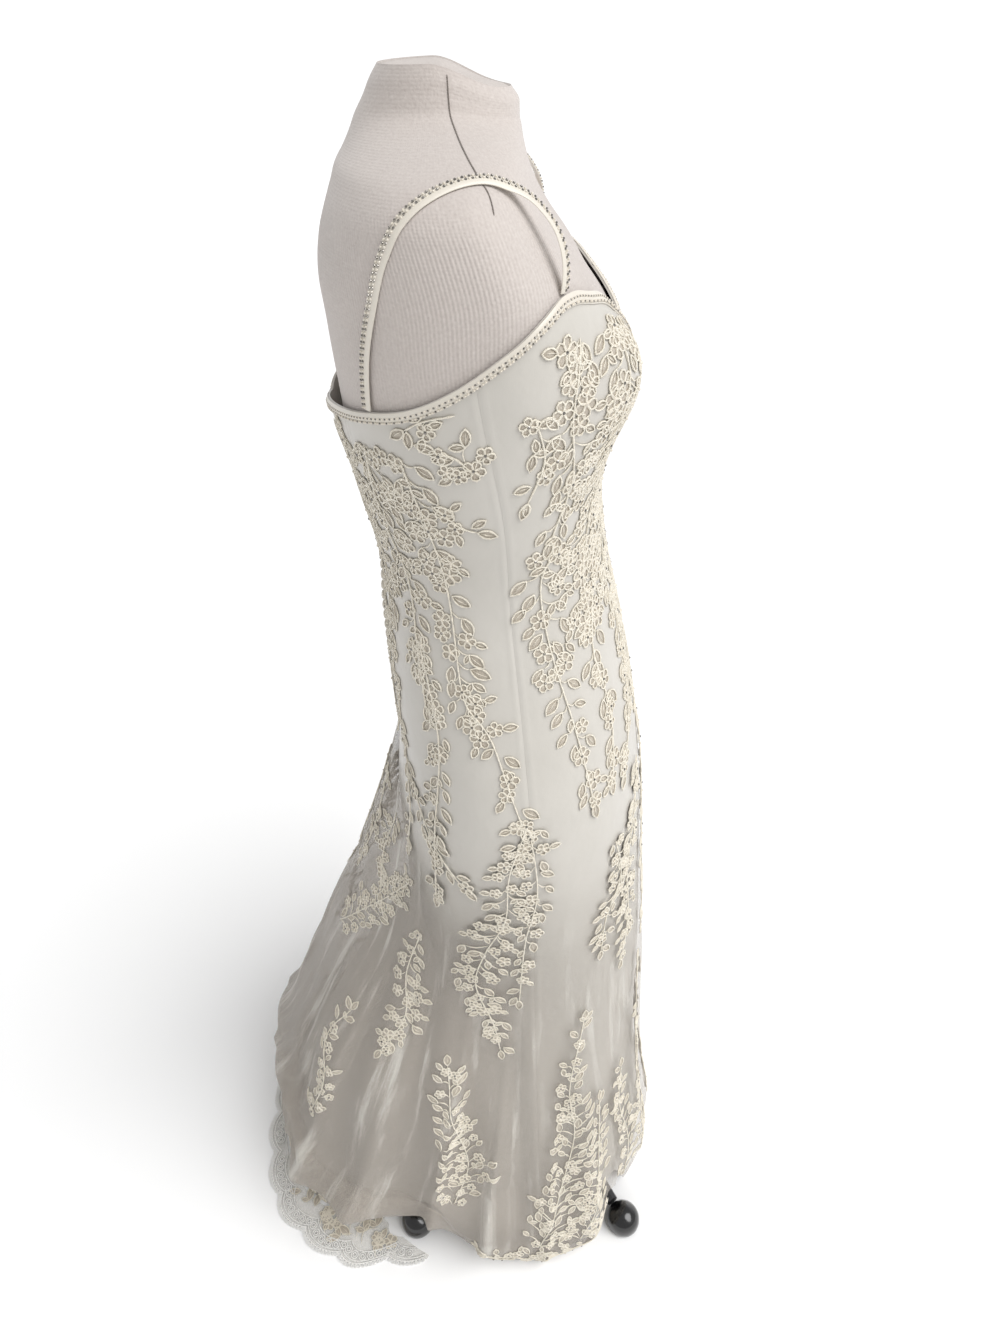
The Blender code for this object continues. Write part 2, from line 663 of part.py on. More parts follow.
def build_lace_border(material):
    """A scalloped strip on the floor, just outside the net's foot."""
    angle = np.linspace(BORDER_FROM, BORDER_TO, BORDER_COLUMNS + 1)
    share = (angle - BORDER_FROM) / (BORDER_TO - BORDER_FROM)
    columns = np.concatenate([net_columns(1), net_columns(-1)])
    edge = moved_out(net_inside, columns, hem_lift(columns), np.full(columns.shape, NET_WALL))
    foot = np.column_stack([np.interp(angle, columns, edge[:, axis]) for axis in (0, 1)])
    radius = np.hypot(foot[:, 0], foot[:, 1])
    nearest_leg = np.min([np.abs(apart(angle, leg)) for leg in LEG_ANGLES], axis=0)
    past_foot = BORDER_PAST_FOOT * (1 - ease(nearest_leg, *BORDER_PAST_DEGREES))
    inner = np.maximum(radius + BORDER_GAP, past_foot)
    notch = SCALLOP_DEPTH * (1 - np.abs(np.sin(math.pi * BORDER_SCALLOPS * share)) ** 0.7)
    outer = smooth(BORDER_EDGE, "reach", folded(angle), "angle") - notch
    outer = np.maximum(outer, inner + BORDER_NARROWEST)
    direction = foot[:, :2] / radius[:, None]

    def strip(height):
        level = np.full(angle.shape, height)
        return np.stack([np.column_stack([direction * reach[:, None], level]) for reach in (inner, outer)])

    wall("lace_border", strip(0.0)[:, ::-1], strip(BORDER_WALL)[:, ::-1], material)


def build_neckline_trim(material, columns):
    """The beaded binding, over the panels' own columns along the top edge, open at the centre back."""
    end = 180 - degrees(0.5 * PLACKET_WIDTH, BACK_REACH) - TRIM_END_DEGREES
    angle = np.clip(columns, -end, end)
    heights = np.stack([neckline(angle), neckline(angle) - TRIM_WIDTH])
    angle = np.broadcast_to(angle, heights.shape)
    under = np.full(heights.shape, SATIN_WALL + SEAM_GAP)
    inside = moved_out(satin_inside, angle, heights, under)
    outside = moved_out(satin_inside, angle, heights, under + TRIM_WALL)
    wall("neckline_trim", inside[:, ::-1], outside[:, ::-1], material)


def build_form(material):
    """The form's torso, a little inside its skin where the gown covers it, so the walls never touch."""
    angle = np.arange(FORM_COLUMNS) * 360 / FORM_COLUMNS
    levels = np.array(FORM_LEVELS)[:, None]
    angle, levels = np.broadcast_arrays(angle[None, :], levels)
    inset = FORM_INSET * (1 - ease(levels, 1.24, 1.28))
    rings = moved_out(form_point, angle, levels, -inset)
    rings[0, :, 2] = FORM_BOTTOM
    turned("form_torso", rings, material)


def ring(centre, across, up, radii, columns):
    """Points of an ellipse, clockwise as seen from where across x up points."""
    turn = -np.arange(columns) * 2 * math.pi / columns
    return centre + np.outer(np.cos(turn) * radii[0], across) + np.outer(np.sin(turn) * radii[1], up)


def build_stand(material, foot_material):
    """Pole, hub, four sloping legs and their feet."""
    x_axis, y_axis = np.array([1.0, 0, 0]), np.array([0, 1.0, 0])

    def lathe(name, profile, columns, centre, finish):
        rings = []
        for radius, up in profile:
            rings.append(ring(centre + np.array([0, 0, up]), x_axis, y_axis, (radius, radius), columns))
        turned(name, np.array(rings), finish)

    middle = np.zeros(3)
    pole = ((POLE_RADIUS, HUB_TOP + SEAM_GAP), (POLE_RADIUS, FORM_BOTTOM - SEAM_GAP))
    lathe("stand_pole", pole, 16, middle, material)
    lathe("stand_hub", HUB, 20, middle, material)
    for number, angle in enumerate(LEG_ANGLES, 1):
        turn = math.radians(angle)
        along = np.array([-math.sin(turn), -math.cos(turn), 0.0])
        across = np.array([-along[1], along[0], 0.0])
        stations = []
        for leg in LEG:
            centre = along * leg.reach + np.array([0, 0, leg.height])
            halves = (leg.half_width, leg.half_height)
            stations.append(ring(centre, across, np.array([0, 0, 1.0]), halves, 8))
        turned(f"stand_leg_{number}", np.array(stations), material)
        lathe(f"stand_foot_{number}", FOOT, 12, along * FOOT_REACH, foot_material)


def ribbon(name, centres, normals, width, thickness, material):
    """A flat band along a path, lying square to the surface under it."""
    tangents = np.gradient(centres, axis=0)
    tangents /= np.linalg.norm(tangents, axis=1, keepdims=True)
    across = np.cross(normals, tangents)
    across /= np.linalg.norm(across, axis=1, keepdims=True)
    up = np.cross(tangents, across)
    half = 0.5 * width
    inner = np.stack([centres - across * half, centres + across * half], 1)
    outer = inner + up[:, None] * thickness
    wall(name, inner, outer, material)


def build_straps(material):
    """Each strap runs from the cup's top over the shoulder to the back's top edge."""
    share = np.linspace(0, 1, STRAP_STEPS + 1)
    rows = np.arange(len(STRAP_PATH)) / (len(STRAP_PATH) - 1)
    angle, height, off = (np.interp(share, rows, column) for column in zip(*STRAP_PATH))
    for values in (angle, height, off):
        for _ in range(2):
            values[1:-1] = (values[:-2] + 2 * values[1:-1] + values[2:]) / 4
    inner = moved_out(form_point, angle, height, off)
    normals = moved_out(form_point, angle, height, off + 0.01) - inner
    normals /= np.linalg.norm(normals, axis=1, keepdims=True)
    for side, word in ((1, "right"), (-1, "left")):
        flip = np.array([side, 1.0, 1.0])
        path, facing = inner * flip, normals * flip
        if side < 0:
            path, facing = path[::-1], facing[::-1]
        ribbon(f"strap_{word}", path, facing, STRAP_WIDTH, STRAP_WALL, material)


def build_placket(material):
    """The buttoned strip over the centre back seam."""
    half = degrees(0.5 * PLACKET_WIDTH, BACK_REACH)
    heights = np.linspace(neckline(180.0) - PLACKET_DROP, PLACKET_BOTTOM, PLACKET_ROWS + 1)[:, None]
    angle = np.array([180 + half, 180.0, 180 - half])[None, :]
    angle, heights = np.broadcast_arrays(angle, heights)
    under = SATIN_WALL + PLACKET_GAP
    inside = moved_out(satin_inside, angle, heights, np.full(angle.shape, under))
    outside = moved_out(satin_inside, angle, heights, np.full(angle.shape, under + PLACKET_WALL))
    wall("button_placket", inside, outside, material)


def build_buttons(material):
    """Covered buttons down the placket, each a low dome square to the cloth."""
    sides = np.array([1.0, 0, 0])
    for number in range(BUTTON_COUNT):
        height = np.array([BUTTON_TOP - number * BUTTON_PITCH])
        centre_back = np.array([180.0])
        seat = SATIN_WALL + PLACKET_GAP + PLACKET_WALL + SEAM_GAP
        base = moved_out(satin_inside, centre_back, height, np.array([seat]))[0]
        face = moved_out(satin_inside, centre_back, height, np.array([seat + 0.01]))[0] - base
        face /= np.linalg.norm(face)
        up = np.cross(face, sides)
        rings = [ring(base + face * out, sides, up, (radius, radius), 8) for radius, out in BUTTON_PROFILE]
        turned(f"button_{number + 1:02d}", np.array(rings), material)


def main():
    for obj in list(bpy.data.objects):
        bpy.data.objects.remove(obj, do_unlink=True)
    satin = clear_material("ivory satin", (0.80, 0.76, 0.69), 0.38)
    net = clear_material("ivory net", (0.74, 0.72, 0.68), 0.75)
    lace = clear_material("corded lace", (0.83, 0.80, 0.73), 0.6)
    knit = clear_material("knit cover", (0.78, 0.73, 0.69), 0.9)
    steel = clear_material("black enamelled steel", (0.03, 0.03, 0.03), 0.45)
    rubber = clear_material("black moulded rubber", (0.015, 0.015, 0.015), 0.3)
    build_form(knit)
    build_stand(steel, rubber)
    top_columns = build_panels(satin)
    build_net_skirt(net)
    build_lace_border(lace)
    build_neckline_trim(lace, top_columns)
    build_straps(lace)
    build_placket(satin)
    build_buttons(satin)


main()
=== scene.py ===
import math
import bpy
import numpy as np
from mathutils import Matrix


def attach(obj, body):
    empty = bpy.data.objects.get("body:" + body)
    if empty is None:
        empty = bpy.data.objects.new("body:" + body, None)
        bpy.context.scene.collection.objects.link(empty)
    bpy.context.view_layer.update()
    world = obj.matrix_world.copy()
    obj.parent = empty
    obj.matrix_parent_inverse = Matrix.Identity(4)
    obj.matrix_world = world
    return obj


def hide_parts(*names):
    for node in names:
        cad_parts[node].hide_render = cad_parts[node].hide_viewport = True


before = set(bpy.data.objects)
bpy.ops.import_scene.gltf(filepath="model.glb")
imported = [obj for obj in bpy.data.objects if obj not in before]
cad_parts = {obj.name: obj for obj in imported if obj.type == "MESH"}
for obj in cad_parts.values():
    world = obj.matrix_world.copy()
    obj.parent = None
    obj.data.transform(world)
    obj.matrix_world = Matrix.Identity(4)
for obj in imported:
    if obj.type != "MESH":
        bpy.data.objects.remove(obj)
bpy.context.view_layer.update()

print("frame loaded")

# Everything is worked out from the foot of the form's pole, then moved back by this much
poleY = -0.0930
# Angles are degrees from the gown's front, positive to the wearer's right; heights are metres above the floor


# ---- small helpers ----

def smooth(table, column, at, key="height"):
    # cubic through the table's rows: straight line between two rows plus t(1-t) times the slopes' misfit
    order = np.argsort(table[key])
    xs = np.array(table[key], float)[order]
    ys = np.array(table[column], float)[order]
    slopes = np.gradient(ys, xs)
    at = np.clip(np.asarray(at, float), xs[0], xs[-1])
    i = np.clip(np.searchsorted(xs, at) - 1, 0, len(xs) - 2)
    step = xs[i + 1] - xs[i]
    t = (at - xs[i]) / step
    rise = ys[i + 1] - ys[i]
    return ys[i] + t * rise + t * (1 - t) * ((1 - t) * (slopes[i] * step - rise) + t * (rise - slopes[i + 1] * step))


def ease(value, low, high):
    # 0 below low, 1 above high, 3t^2 - 2t^3 between
    t = np.clip((np.asarray(value, float) - low) / (high - low), 0, 1)
    return t * t * (3 - 2 * t)


def folded(angle):
    # the angle from the front on either side, 0 to 180
    turned = np.mod(np.asarray(angle, float), 360)
    return np.where(turned > 180, 360 - turned, turned)


def apart(angle, other):
    # signed degrees from one angle to another, the short way round
    return np.mod(np.asarray(angle, float) - other + 180, 360) - 180


def unit(vectors):
    return vectors / np.maximum(np.linalg.norm(vectors, axis=-1, keepdims=True), 1e-12)


def meshFrom(name, points, faceSets, materials, slots=None, smoothShade=True, layer=None, uv=None):
    # one mesh object from an array of points and arrays of faces with 3 or 4 corners each
    points = np.asarray(points, float).reshape(-1, 3) + (0.0, poleY, 0.0)
    mesh = bpy.data.meshes.new(name)
    corners = np.concatenate([np.asarray(f).ravel() for f in faceSets]).astype(np.int32)
    counts = np.concatenate([np.full(len(f), np.shape(f)[1]) for f in faceSets])
    mesh.vertices.add(len(points))
    mesh.vertices.foreach_set("co", points.ravel())
    mesh.loops.add(len(corners))
    mesh.loops.foreach_set("vertex_index", corners)
    mesh.polygons.add(len(counts))
    mesh.polygons.foreach_set("loop_start", np.concatenate([[0], np.cumsum(counts)[:-1]]).astype(np.int32))
    if slots is not None:
        mesh.polygons.foreach_set("material_index", np.asarray(slots, np.int32))
    mesh.polygons.foreach_set("use_smooth", np.full(len(counts), smoothShade))
    for material in materials:
        mesh.materials.append(material)
    if layer is not None:
        held = mesh.attributes.new("fullness", "FLOAT", "POINT")
        held.data.foreach_set("value", np.asarray(layer, np.float32).ravel())
    if uv is not None:
        mesh.uv_layers.new(name="cloth").data.foreach_set("uv", np.asarray(uv)[corners].astype(np.float32).ravel())
    mesh.update(calc_edges=True)
    obj = bpy.data.objects.new(name, mesh)
    bpy.context.scene.collection.objects.link(obj)
    return obj


def onRoot(piece, slot, *nodes):
    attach(piece, "root")
    if nodes:
        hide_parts(*nodes)
    return piece


def quads(a, b, c, d):
    return np.stack([a, b, c, d], -1).reshape(-1, 4)


def wallFaces(rows, columns):
    # closed wall: outer grid first, inner grid after it, rows down, columns left to right seen from outside
    out = np.arange(rows * columns).reshape(rows, columns)
    inn = out + rows * columns
    return np.concatenate([
        quads(out[:-1, :-1], out[1:, :-1], out[1:, 1:], out[:-1, 1:]),
        quads(inn[:-1, :-1], inn[:-1, 1:], inn[1:, 1:], inn[1:, :-1]),
        quads(out[0, :-1], out[0, 1:], inn[0, 1:], inn[0, :-1]),
        quads(out[-1, 1:], out[-1, :-1], inn[-1, :-1], inn[-1, 1:]),
        quads(out[1:, 0], out[:-1, 0], inn[:-1, 0], inn[1:, 0]),
        quads(out[:-1, -1], out[1:, -1], inn[1:, -1], inn[:-1, -1]),
    ])


def tubeFaces(steps, sides, closed):
    # tube from rings of points, each ring turning the same way; an open cord of 4 sides gets a face at each end
    index = np.arange(steps * sides).reshape(steps, sides)
    after = np.roll(index, -1, axis=1)
    if closed:
        ahead = np.roll(index, -1, axis=0), np.roll(after, -1, axis=0)
        return quads(index, after, ahead[1], ahead[0])
    wall = quads(index[:-1], after[:-1], after[1:], index[1:])
    return np.concatenate([wall, index[:1, ::-1], index[-1:]]) if sides == 4 else wall


def endFaces(steps, sides):
    # one face over each end of an open tube
    ring = np.arange(sides)[None]
    return [ring[:, ::-1], ring + (steps - 1) * sides]


def declareCloth(piece):
    # the wall's edges shade as edges
    piece.data.set_sharp_from_angle(angle=math.radians(50))


# ---- materials ----

def linear(hexColour):
    # sRGB hex to linear light
    parts = [int(hexColour[i:i + 2], 16) / 255 for i in (1, 3, 5)]
    return (*[c / 12.92 if c < 0.04045 else ((c + 0.055) / 1.055) ** 2.4 for c in parts], 1.0)


def addNode(tree, kind, settings=None, links=None, **fields):
    # a node with its fields, its sockets' values and what feeds them
    node = tree.nodes.new(kind)
    for field, value in fields.items():
        setattr(node, field, value)
    for socket, value in (settings or {}).items():
        node.inputs[socket].default_value = value
    for socket, source in (links or {}).items():
        tree.links.new(source, node.inputs[socket])
    return node


def newMaterial(name, colour, roughness, **sockets):
    material = bpy.data.materials.new(name)
    material.use_nodes = True
    shader = material.node_tree.nodes["Principled BSDF"]
    shader.inputs["Base Color"].default_value = linear(colour)
    shader.inputs["Roughness"].default_value = roughness
    for socket, value in sockets.items():
        shader.inputs[socket.replace("_", " ")].default_value = value
    material.diffuse_color = linear(colour)
    return material, material.node_tree, shader


def clouded(tree, shader, light, dark, scale, vector, detail=3.0):
    # slow drift between two shades of the same dye
    cloud = addNode(tree, "ShaderNodeTexNoise", {"Scale": scale, "Detail": detail}, {"Vector": vector})
    mix = addNode(tree, "ShaderNodeMix", links={0: cloud.outputs["Fac"]}, data_type="RGBA")
    mix.inputs[6].default_value, mix.inputs[7].default_value = linear(dark), linear(light)
    tree.links.new(mix.outputs[2], shader.inputs["Base Color"])
    return cloud


def bumped(tree, shader, source, strength, distance, over=None):
    links = {"Height": source}
    if over is not None:
        links["Normal"] = over.outputs["Normal"]
    bump = addNode(tree, "ShaderNodeBump", {"Strength": strength, "Distance": distance}, links)
    tree.links.new(bump.outputs["Normal"], shader.inputs["Normal"])
    return bump


def satinWeave(name, light, dark, roughness):
    # duchesse satin, woven with long floats of filament yarn: a soft broad gloss, threads about 0.2 mm apart,
    # drawn at 0.9 mm so that they show
    material, tree, shader = newMaterial(name, light, roughness, Sheen_Weight=0.25, Sheen_Roughness=0.4)
    place = addNode(tree, "ShaderNodeTexCoord").outputs["Object"]
    clouded(tree, shader, light, dark, 12.0, place)
    floats = addNode(tree, "ShaderNodeMapping", {"Scale": (1100.0, 1100.0, 260.0)}, {"Vector": place})
    threads = addNode(tree, "ShaderNodeTexNoise", {"Scale": 1.0, "Detail": 2.0}, {"Vector": floats.outputs["Vector"]})
    pucker = addNode(tree, "ShaderNodeTexNoise", {"Scale": 26.0, "Detail": 3.0}, {"Vector": place})
    slack = bumped(tree, shader, pucker.outputs["Fac"], 0.28, 0.006)
    bumped(tree, shader, threads.outputs["Fac"], 0.10, 0.0004, slack)
    return material


def netMesh(name, light, dark, low, high, mesh):
    # nylon tulle, a knitted net of hexagonal holes about 1 mm across, drawn at 2 mm; it veils more where it is
    # gathered, which the fullness of each point says, and streaks run down its folds: painted highlight in the colour
    # on the folds' ridges, and a denser veil where the net lies doubled
    material, tree, shader = newMaterial(name, light, 0.75, Sheen_Weight=0.15)
    place = addNode(tree, "ShaderNodeTexCoord")
    cells = addNode(tree, "ShaderNodeTexVoronoi", {"Scale": 520.0}, {"Vector": place.outputs["Object"]}, feature="DISTANCE_TO_EDGE")
    thread = addNode(tree, "ShaderNodeMapRange", {1: 0.03, 2: 0.12, 3: mesh, 4: 0.0}, {0: cells.outputs["Distance"]})
    fullness = addNode(tree, "ShaderNodeAttribute", attribute_name="fullness")
    across = addNode(tree, "ShaderNodeMapping", {"Scale": (60.0, 4.0, 1.0)}, {"Vector": place.outputs["UV"]})
    pleat = addNode(tree, "ShaderNodeTexNoise", {"Scale": 1.0, "Detail": 4.0, "Roughness": 0.6}, {"Vector": across.outputs["Vector"]})
    foldHighlightAndDoubling = addNode(tree, "ShaderNodeMapRange", {1: 0.50, 2: 0.72, 3: 0.0, 4: 1.0}, {0: pleat.outputs["Fac"]}, interpolation_type="SMOOTHSTEP")
    # painted highlight: along the streaks the net's colour is lifted from the dark shade to the light one, as on lit
    # fold ridges
    shade = addNode(tree, "ShaderNodeMix", links={0: foldHighlightAndDoubling.outputs[0]}, data_type="RGBA")
    shade.inputs[6].default_value, shade.inputs[7].default_value = linear(dark), linear(light)
    tree.links.new(shade.outputs[2], shader.inputs["Base Color"])
    veil = addNode(tree, "ShaderNodeMapRange", {1: 0.0, 2: 1.0, 3: low, 4: high}, {0: foldHighlightAndDoubling.outputs[0]})
    both = addNode(tree, "ShaderNodeMath", links={0: veil.outputs[0], 1: thread.outputs[0]}, operation="ADD")
    total = addNode(tree, "ShaderNodeMath", links={0: both.outputs[0], 1: fullness.outputs["Fac"]}, operation="MULTIPLY", use_clamp=True)
    tree.links.new(total.outputs[0], shader.inputs["Alpha"])
    return material


def cordThread(name, light, dark, grain):
    # cotton and rayon embroidery cord, tightly twisted: matt with small bright turns about 1 mm apart
    material, tree, shader = newMaterial(name, light, 0.5, Sheen_Weight=0.2)
    place = addNode(tree, "ShaderNodeTexCoord").outputs["Object"]
    clouded(tree, shader, light, dark, 60.0, place)
    twist = addNode(tree, "ShaderNodeTexNoise", {"Scale": grain, "Detail": 1.0}, {"Vector": place})
    bumped(tree, shader, twist.outputs["Fac"], 1.0, 0.0012)
    return material


def beadGlass(name, colour, roughness, metallic, coat):
    # pressed glass: hard bright points of light
    material, tree, shader = newMaterial(name, colour, roughness, Metallic=metallic, Coat_Weight=coat)
    place = addNode(tree, "ShaderNodeTexCoord").outputs["Object"]
    haze = addNode(tree, "ShaderNodeTexNoise", {"Scale": 300.0}, {"Vector": place})
    spread = addNode(tree, "ShaderNodeMapRange", {1: 0.3, 2: 0.7, 3: roughness * 0.6, 4: roughness * 1.6}, {0: haze.outputs["Fac"]})
    tree.links.new(spread.outputs[0], shader.inputs["Roughness"])
    return material


def ribKnit(name, light, dark):
    # fine cotton rib jersey pulled over padding: ribs about 2.7 mm apart running down, fading out over the shoulder
    material, tree, shader = newMaterial(name, light, 0.92, Sheen_Weight=0.3, Sheen_Roughness=0.6)
    place = addNode(tree, "ShaderNodeTexCoord").outputs["UV"]
    solid = addNode(tree, "ShaderNodeTexCoord").outputs["Object"]
    fuzz = clouded(tree, shader, light, dark, 420.0, solid)
    ribs = addNode(tree, "ShaderNodeTexWave", {"Scale": 110.0, "Distortion": 0.12, "Detail": 1.0, "Detail Scale": 3.0},
                   {"Vector": place}, wave_type="BANDS", bands_direction="X")
    apartDown = addNode(tree, "ShaderNodeTexWave", {"Scale": 130.0, "Distortion": 0.6, "Detail": 1.0, "Detail Scale": 3.0},
                        {"Vector": place}, wave_type="BANDS", bands_direction="Y")
    depth = addNode(tree, "ShaderNodeAttribute", attribute_name="fullness")
    deep = addNode(tree, "ShaderNodeMath", links={0: ribs.outputs["Fac"], 1: depth.outputs["Fac"]}, operation="MULTIPLY")
    rows = bumped(tree, shader, deep.outputs[0], 0.36, 0.0009)
    courses = bumped(tree, shader, apartDown.outputs["Fac"], 0.16, 0.0005, rows)
    bumped(tree, shader, fuzz.outputs["Fac"], 0.45, 0.0009, courses)
    return material


def hardCoat(name, colour, roughness, coat, grain):
    # stoved enamel or moulded rubber: black, with a faint orange peel about 2 mm across
    material, tree, shader = newMaterial(name, colour, roughness, Coat_Weight=coat, Coat_Roughness=0.08)
    place = addNode(tree, "ShaderNodeTexCoord").outputs["Object"]
    peel = addNode(tree, "ShaderNodeTexNoise", {"Scale": grain}, {"Vector": place})
    bumped(tree, shader, peel.outputs["Fac"], 0.12, 0.0003)
    return material


satin = satinWeave("duchesse satin", "#C9C5BE", "#BBB7AF", 0.38)
buttonSatin = satinWeave("button satin", "#DCD6CA", "#CFC8BB", 0.36)
piping = satinWeave("bias-cut piping satin", "#DFD9CE", "#D3CCC0", 0.36)
# the lighter colour is painted highlight along the tulle's fold streaks
tulle = netMesh("nylon tulle", "#DEDAD2", "#B3ABA1", 0.34, 0.54, 0.16)
borderNet = netMesh("lace ground net", "#F7F6F3", "#E6E4DF", 0.20, 0.30, 0.36)
cord = cordThread("embroidery cord", "#F8F2E4", "#E8DFCC", 1100.0)
whiteCord = cordThread("white embroidery cord", "#FEFDFB", "#F7F5F0", 1100.0)
filling = cordThread("darned lace filling", "#CFC6B7", "#B5AA9B", 1500.0)
whiteFilling = cordThread("white darned filling", "#EDEBE6", "#DCD9D2", 1500.0)
crystal = beadGlass("foiled rhinestone", "#8F8B86", 0.16, 1.0, 0.0)
pearl = beadGlass("glass seed bead", "#DAD2C4", 0.25, 0.0, 0.6)
knit = ribKnit("rib jersey cover", "#CDC5BF", "#B4AAA4")
seamThread = cordThread("seam of the jersey cover", "#80776F", "#6E655E", 900.0)
enamel = hardCoat("black stoved enamel", "#17171A", 0.4, 0.4, 500.0)
rubber = hardCoat("black moulded rubber", "#0B0B0C", 0.22, 0.6, 400.0)
print("materials made")


# ---- the shapes that the pieces share ----

form = {
    "height": [0.600, 0.660, 0.740, 0.800, 0.880, 0.940, 0.990, 1.030, 1.080, 1.130, 1.180, 1.230, 1.270, 1.300, 1.318,
               1.330, 1.340, 1.350, 1.360, 1.368, 1.380, 1.392, 1.400],
    "front": [0.138, 0.144, 0.147, 0.143, 0.131, 0.119, 0.108, 0.102, 0.098, 0.101, 0.101, 0.092, 0.076, 0.063, 0.059,
              0.057, 0.056, 0.057, 0.059, 0.060, 0.061, 0.060, 0.055],
    "back": [0.108, 0.111, 0.112, 0.110, 0.111, 0.110, 0.107, 0.110, 0.119, 0.126, 0.128, 0.130, 0.130, 0.117, 0.104,
             0.096, 0.090, 0.080, 0.071, 0.065, 0.056, 0.049, 0.043],
    "side": [0.172, 0.180, 0.187, 0.184, 0.164, 0.146, 0.136, 0.136, 0.145, 0.157, 0.167, 0.175, 0.177, 0.175, 0.170,
             0.160, 0.142, 0.112, 0.080, 0.063, 0.056, 0.053, 0.050],
    "power": [2.2] * 10 + [2.3] * 3 + [2.25, 2.2, 2.1, 2.1, 2.0, 2.0, 2.0, 2.0, 2.0, 2.0],
    "middle": [0.0] * 13 + [0.007, 0.013, 0.016, 0.018, 0.021, 0.024, 0.026, 0.027, 0.027, 0.027],
    "formBottom": 0.620, "neckTop": 1.400, "neckTilt": 0.018, "neckTiltFrom": 1.345,
    "bustOut": 0.083, "bustHeight": 1.192, "bustRise": 0.028, "bustWide": 0.050, "bustUpper": 0.048, "bustLower": 0.046,
    "dip": 0.8, "gownDip": 0.35, "gownLower": 0.060, "gape": 0.009, "clearance": 0.0008,
}
satinSkirt = {
    "height": [0.000, 0.070, 0.160, 0.300, 0.420, 0.500, 0.600, 0.700, 0.800],
    "front": [0.190, 0.186, 0.175, 0.168, 0.167, 0.164, 0.159, 0.154, 0.148],
    "side": [0.252, 0.246, 0.226, 0.199, 0.184, 0.182, 0.187, 0.192, 0.189],
    "back": [0.340, 0.330, 0.300, 0.229, 0.153, 0.127, 0.122, 0.121, 0.116],
    "power": [2.1, 2.1, 2.1, 2.1, 2.15, 2.2, 2.2, 2.2, 2.2],
    "hipBlend": (0.720, 0.820), "hemBlend": 0.150, "wall": 0.0015,
}
hemPlan = {
    "angle": [0, 25, 45, 57, 70, 82, 97, 112, 127, 134, 141, 150, 161, 180],
    "radius": [0.190, 0.195, 0.209, 0.213, 0.244, 0.254, 0.252, 0.240, 0.236, 0.260, 0.298, 0.338, 0.360, 0.365],
}
neckline = {
    "angle": [0, 12, 22, 30, 43, 56, 66, 71, 77, 84, 98, 107, 126, 150, 180],
    "height": [1.190, 1.198, 1.214, 1.228, 1.248, 1.258, 1.265, 1.265, 1.257, 1.242, 1.2135, 1.200, 1.185, 1.171, 1.159],
}
seams = {
    "height": [0.000, 0.500, 0.690, 0.920, 1.016, 1.080, 1.200, 1.270],
    "princess": [27.0, 28.0, 28.0, 27.0, 27.0, 30.0, 35.0, 36.0],
    "side": [85.5, 83.0, 83.0, 84.0, 85.5, 86.5, 92.0, 94.0],
    "back": [146.0, 144.0, 143.0, 142.0, 142.0, 142.0, 142.0, 143.0],
    "gap": 0.00006, "reach": 0.12,
}
netSkirt = {
    "height": [0.000, 0.030, 0.062, 0.100, 0.150, 0.190, 0.216, 0.240, 0.300, 0.360, 0.420, 0.480, 0.555, 0.625, 0.690,
               0.740, 0.790],
    "front": [0.003, 0.004, 0.004, 0.004, 0.003, 0.003, 0.003, 0.003, 0.003, 0.003, 0.003, 0.003, 0.002, 0.002, 0.001,
              0.001, 0.000],
    "side": [0.003, 0.010, 0.013, 0.013, 0.010, 0.009, 0.008, 0.008, 0.007, 0.006, 0.005, 0.004, 0.003, 0.002, 0.001,
             0.001, 0.000],
    "back": [0.004, 0.005, 0.009, 0.022, 0.044, 0.060, 0.072, 0.065, 0.071, 0.084, 0.097, 0.094, 0.068, 0.042, 0.019,
             0.006, 0.000],
    "top": 0.790, "gap": 0.0011, "tipDrop": 0.075, "wall": 0.0005,
}
# angle, width in degrees, depth, top, bottom, drift in degrees on the way down
netFolds = np.array([
    (14, 6, 0.005, 0.55, 0.00, 3), (38, 6, 0.008, 0.62, 0.02, -2), (66, 5, 0.011, 0.50, 0.00, 3),
    (85, 5, 0.009, 0.66, 0.10, 0), (97, 5, 0.014, 0.42, 0.02, 4), (113, 5, 0.012, 0.60, 0.04, 3),
    (131, 6, 0.014, 0.68, 0.05, 5), (147, 6, 0.016, 0.60, 0.03, 4), (165, 6, 0.009, 0.55, 0.04, 2),
    (186, 6, 0.008, 0.62, 0.03, -3), (202, 6, 0.010, 0.56, 0.04, 2), (219, 6, 0.013, 0.64, 0.03, -4),
    (236, 6, 0.012, 0.50, 0.02, -3), (252, 5, 0.012, 0.58, 0.04, -4), (269, 5, 0.011, 0.44, 0.02, -3),
    (288, 5, 0.009, 0.60, 0.05, -2), (312, 6, 0.009, 0.48, 0.00, 2), (341, 6, 0.005, 0.57, 0.00, -3),
])
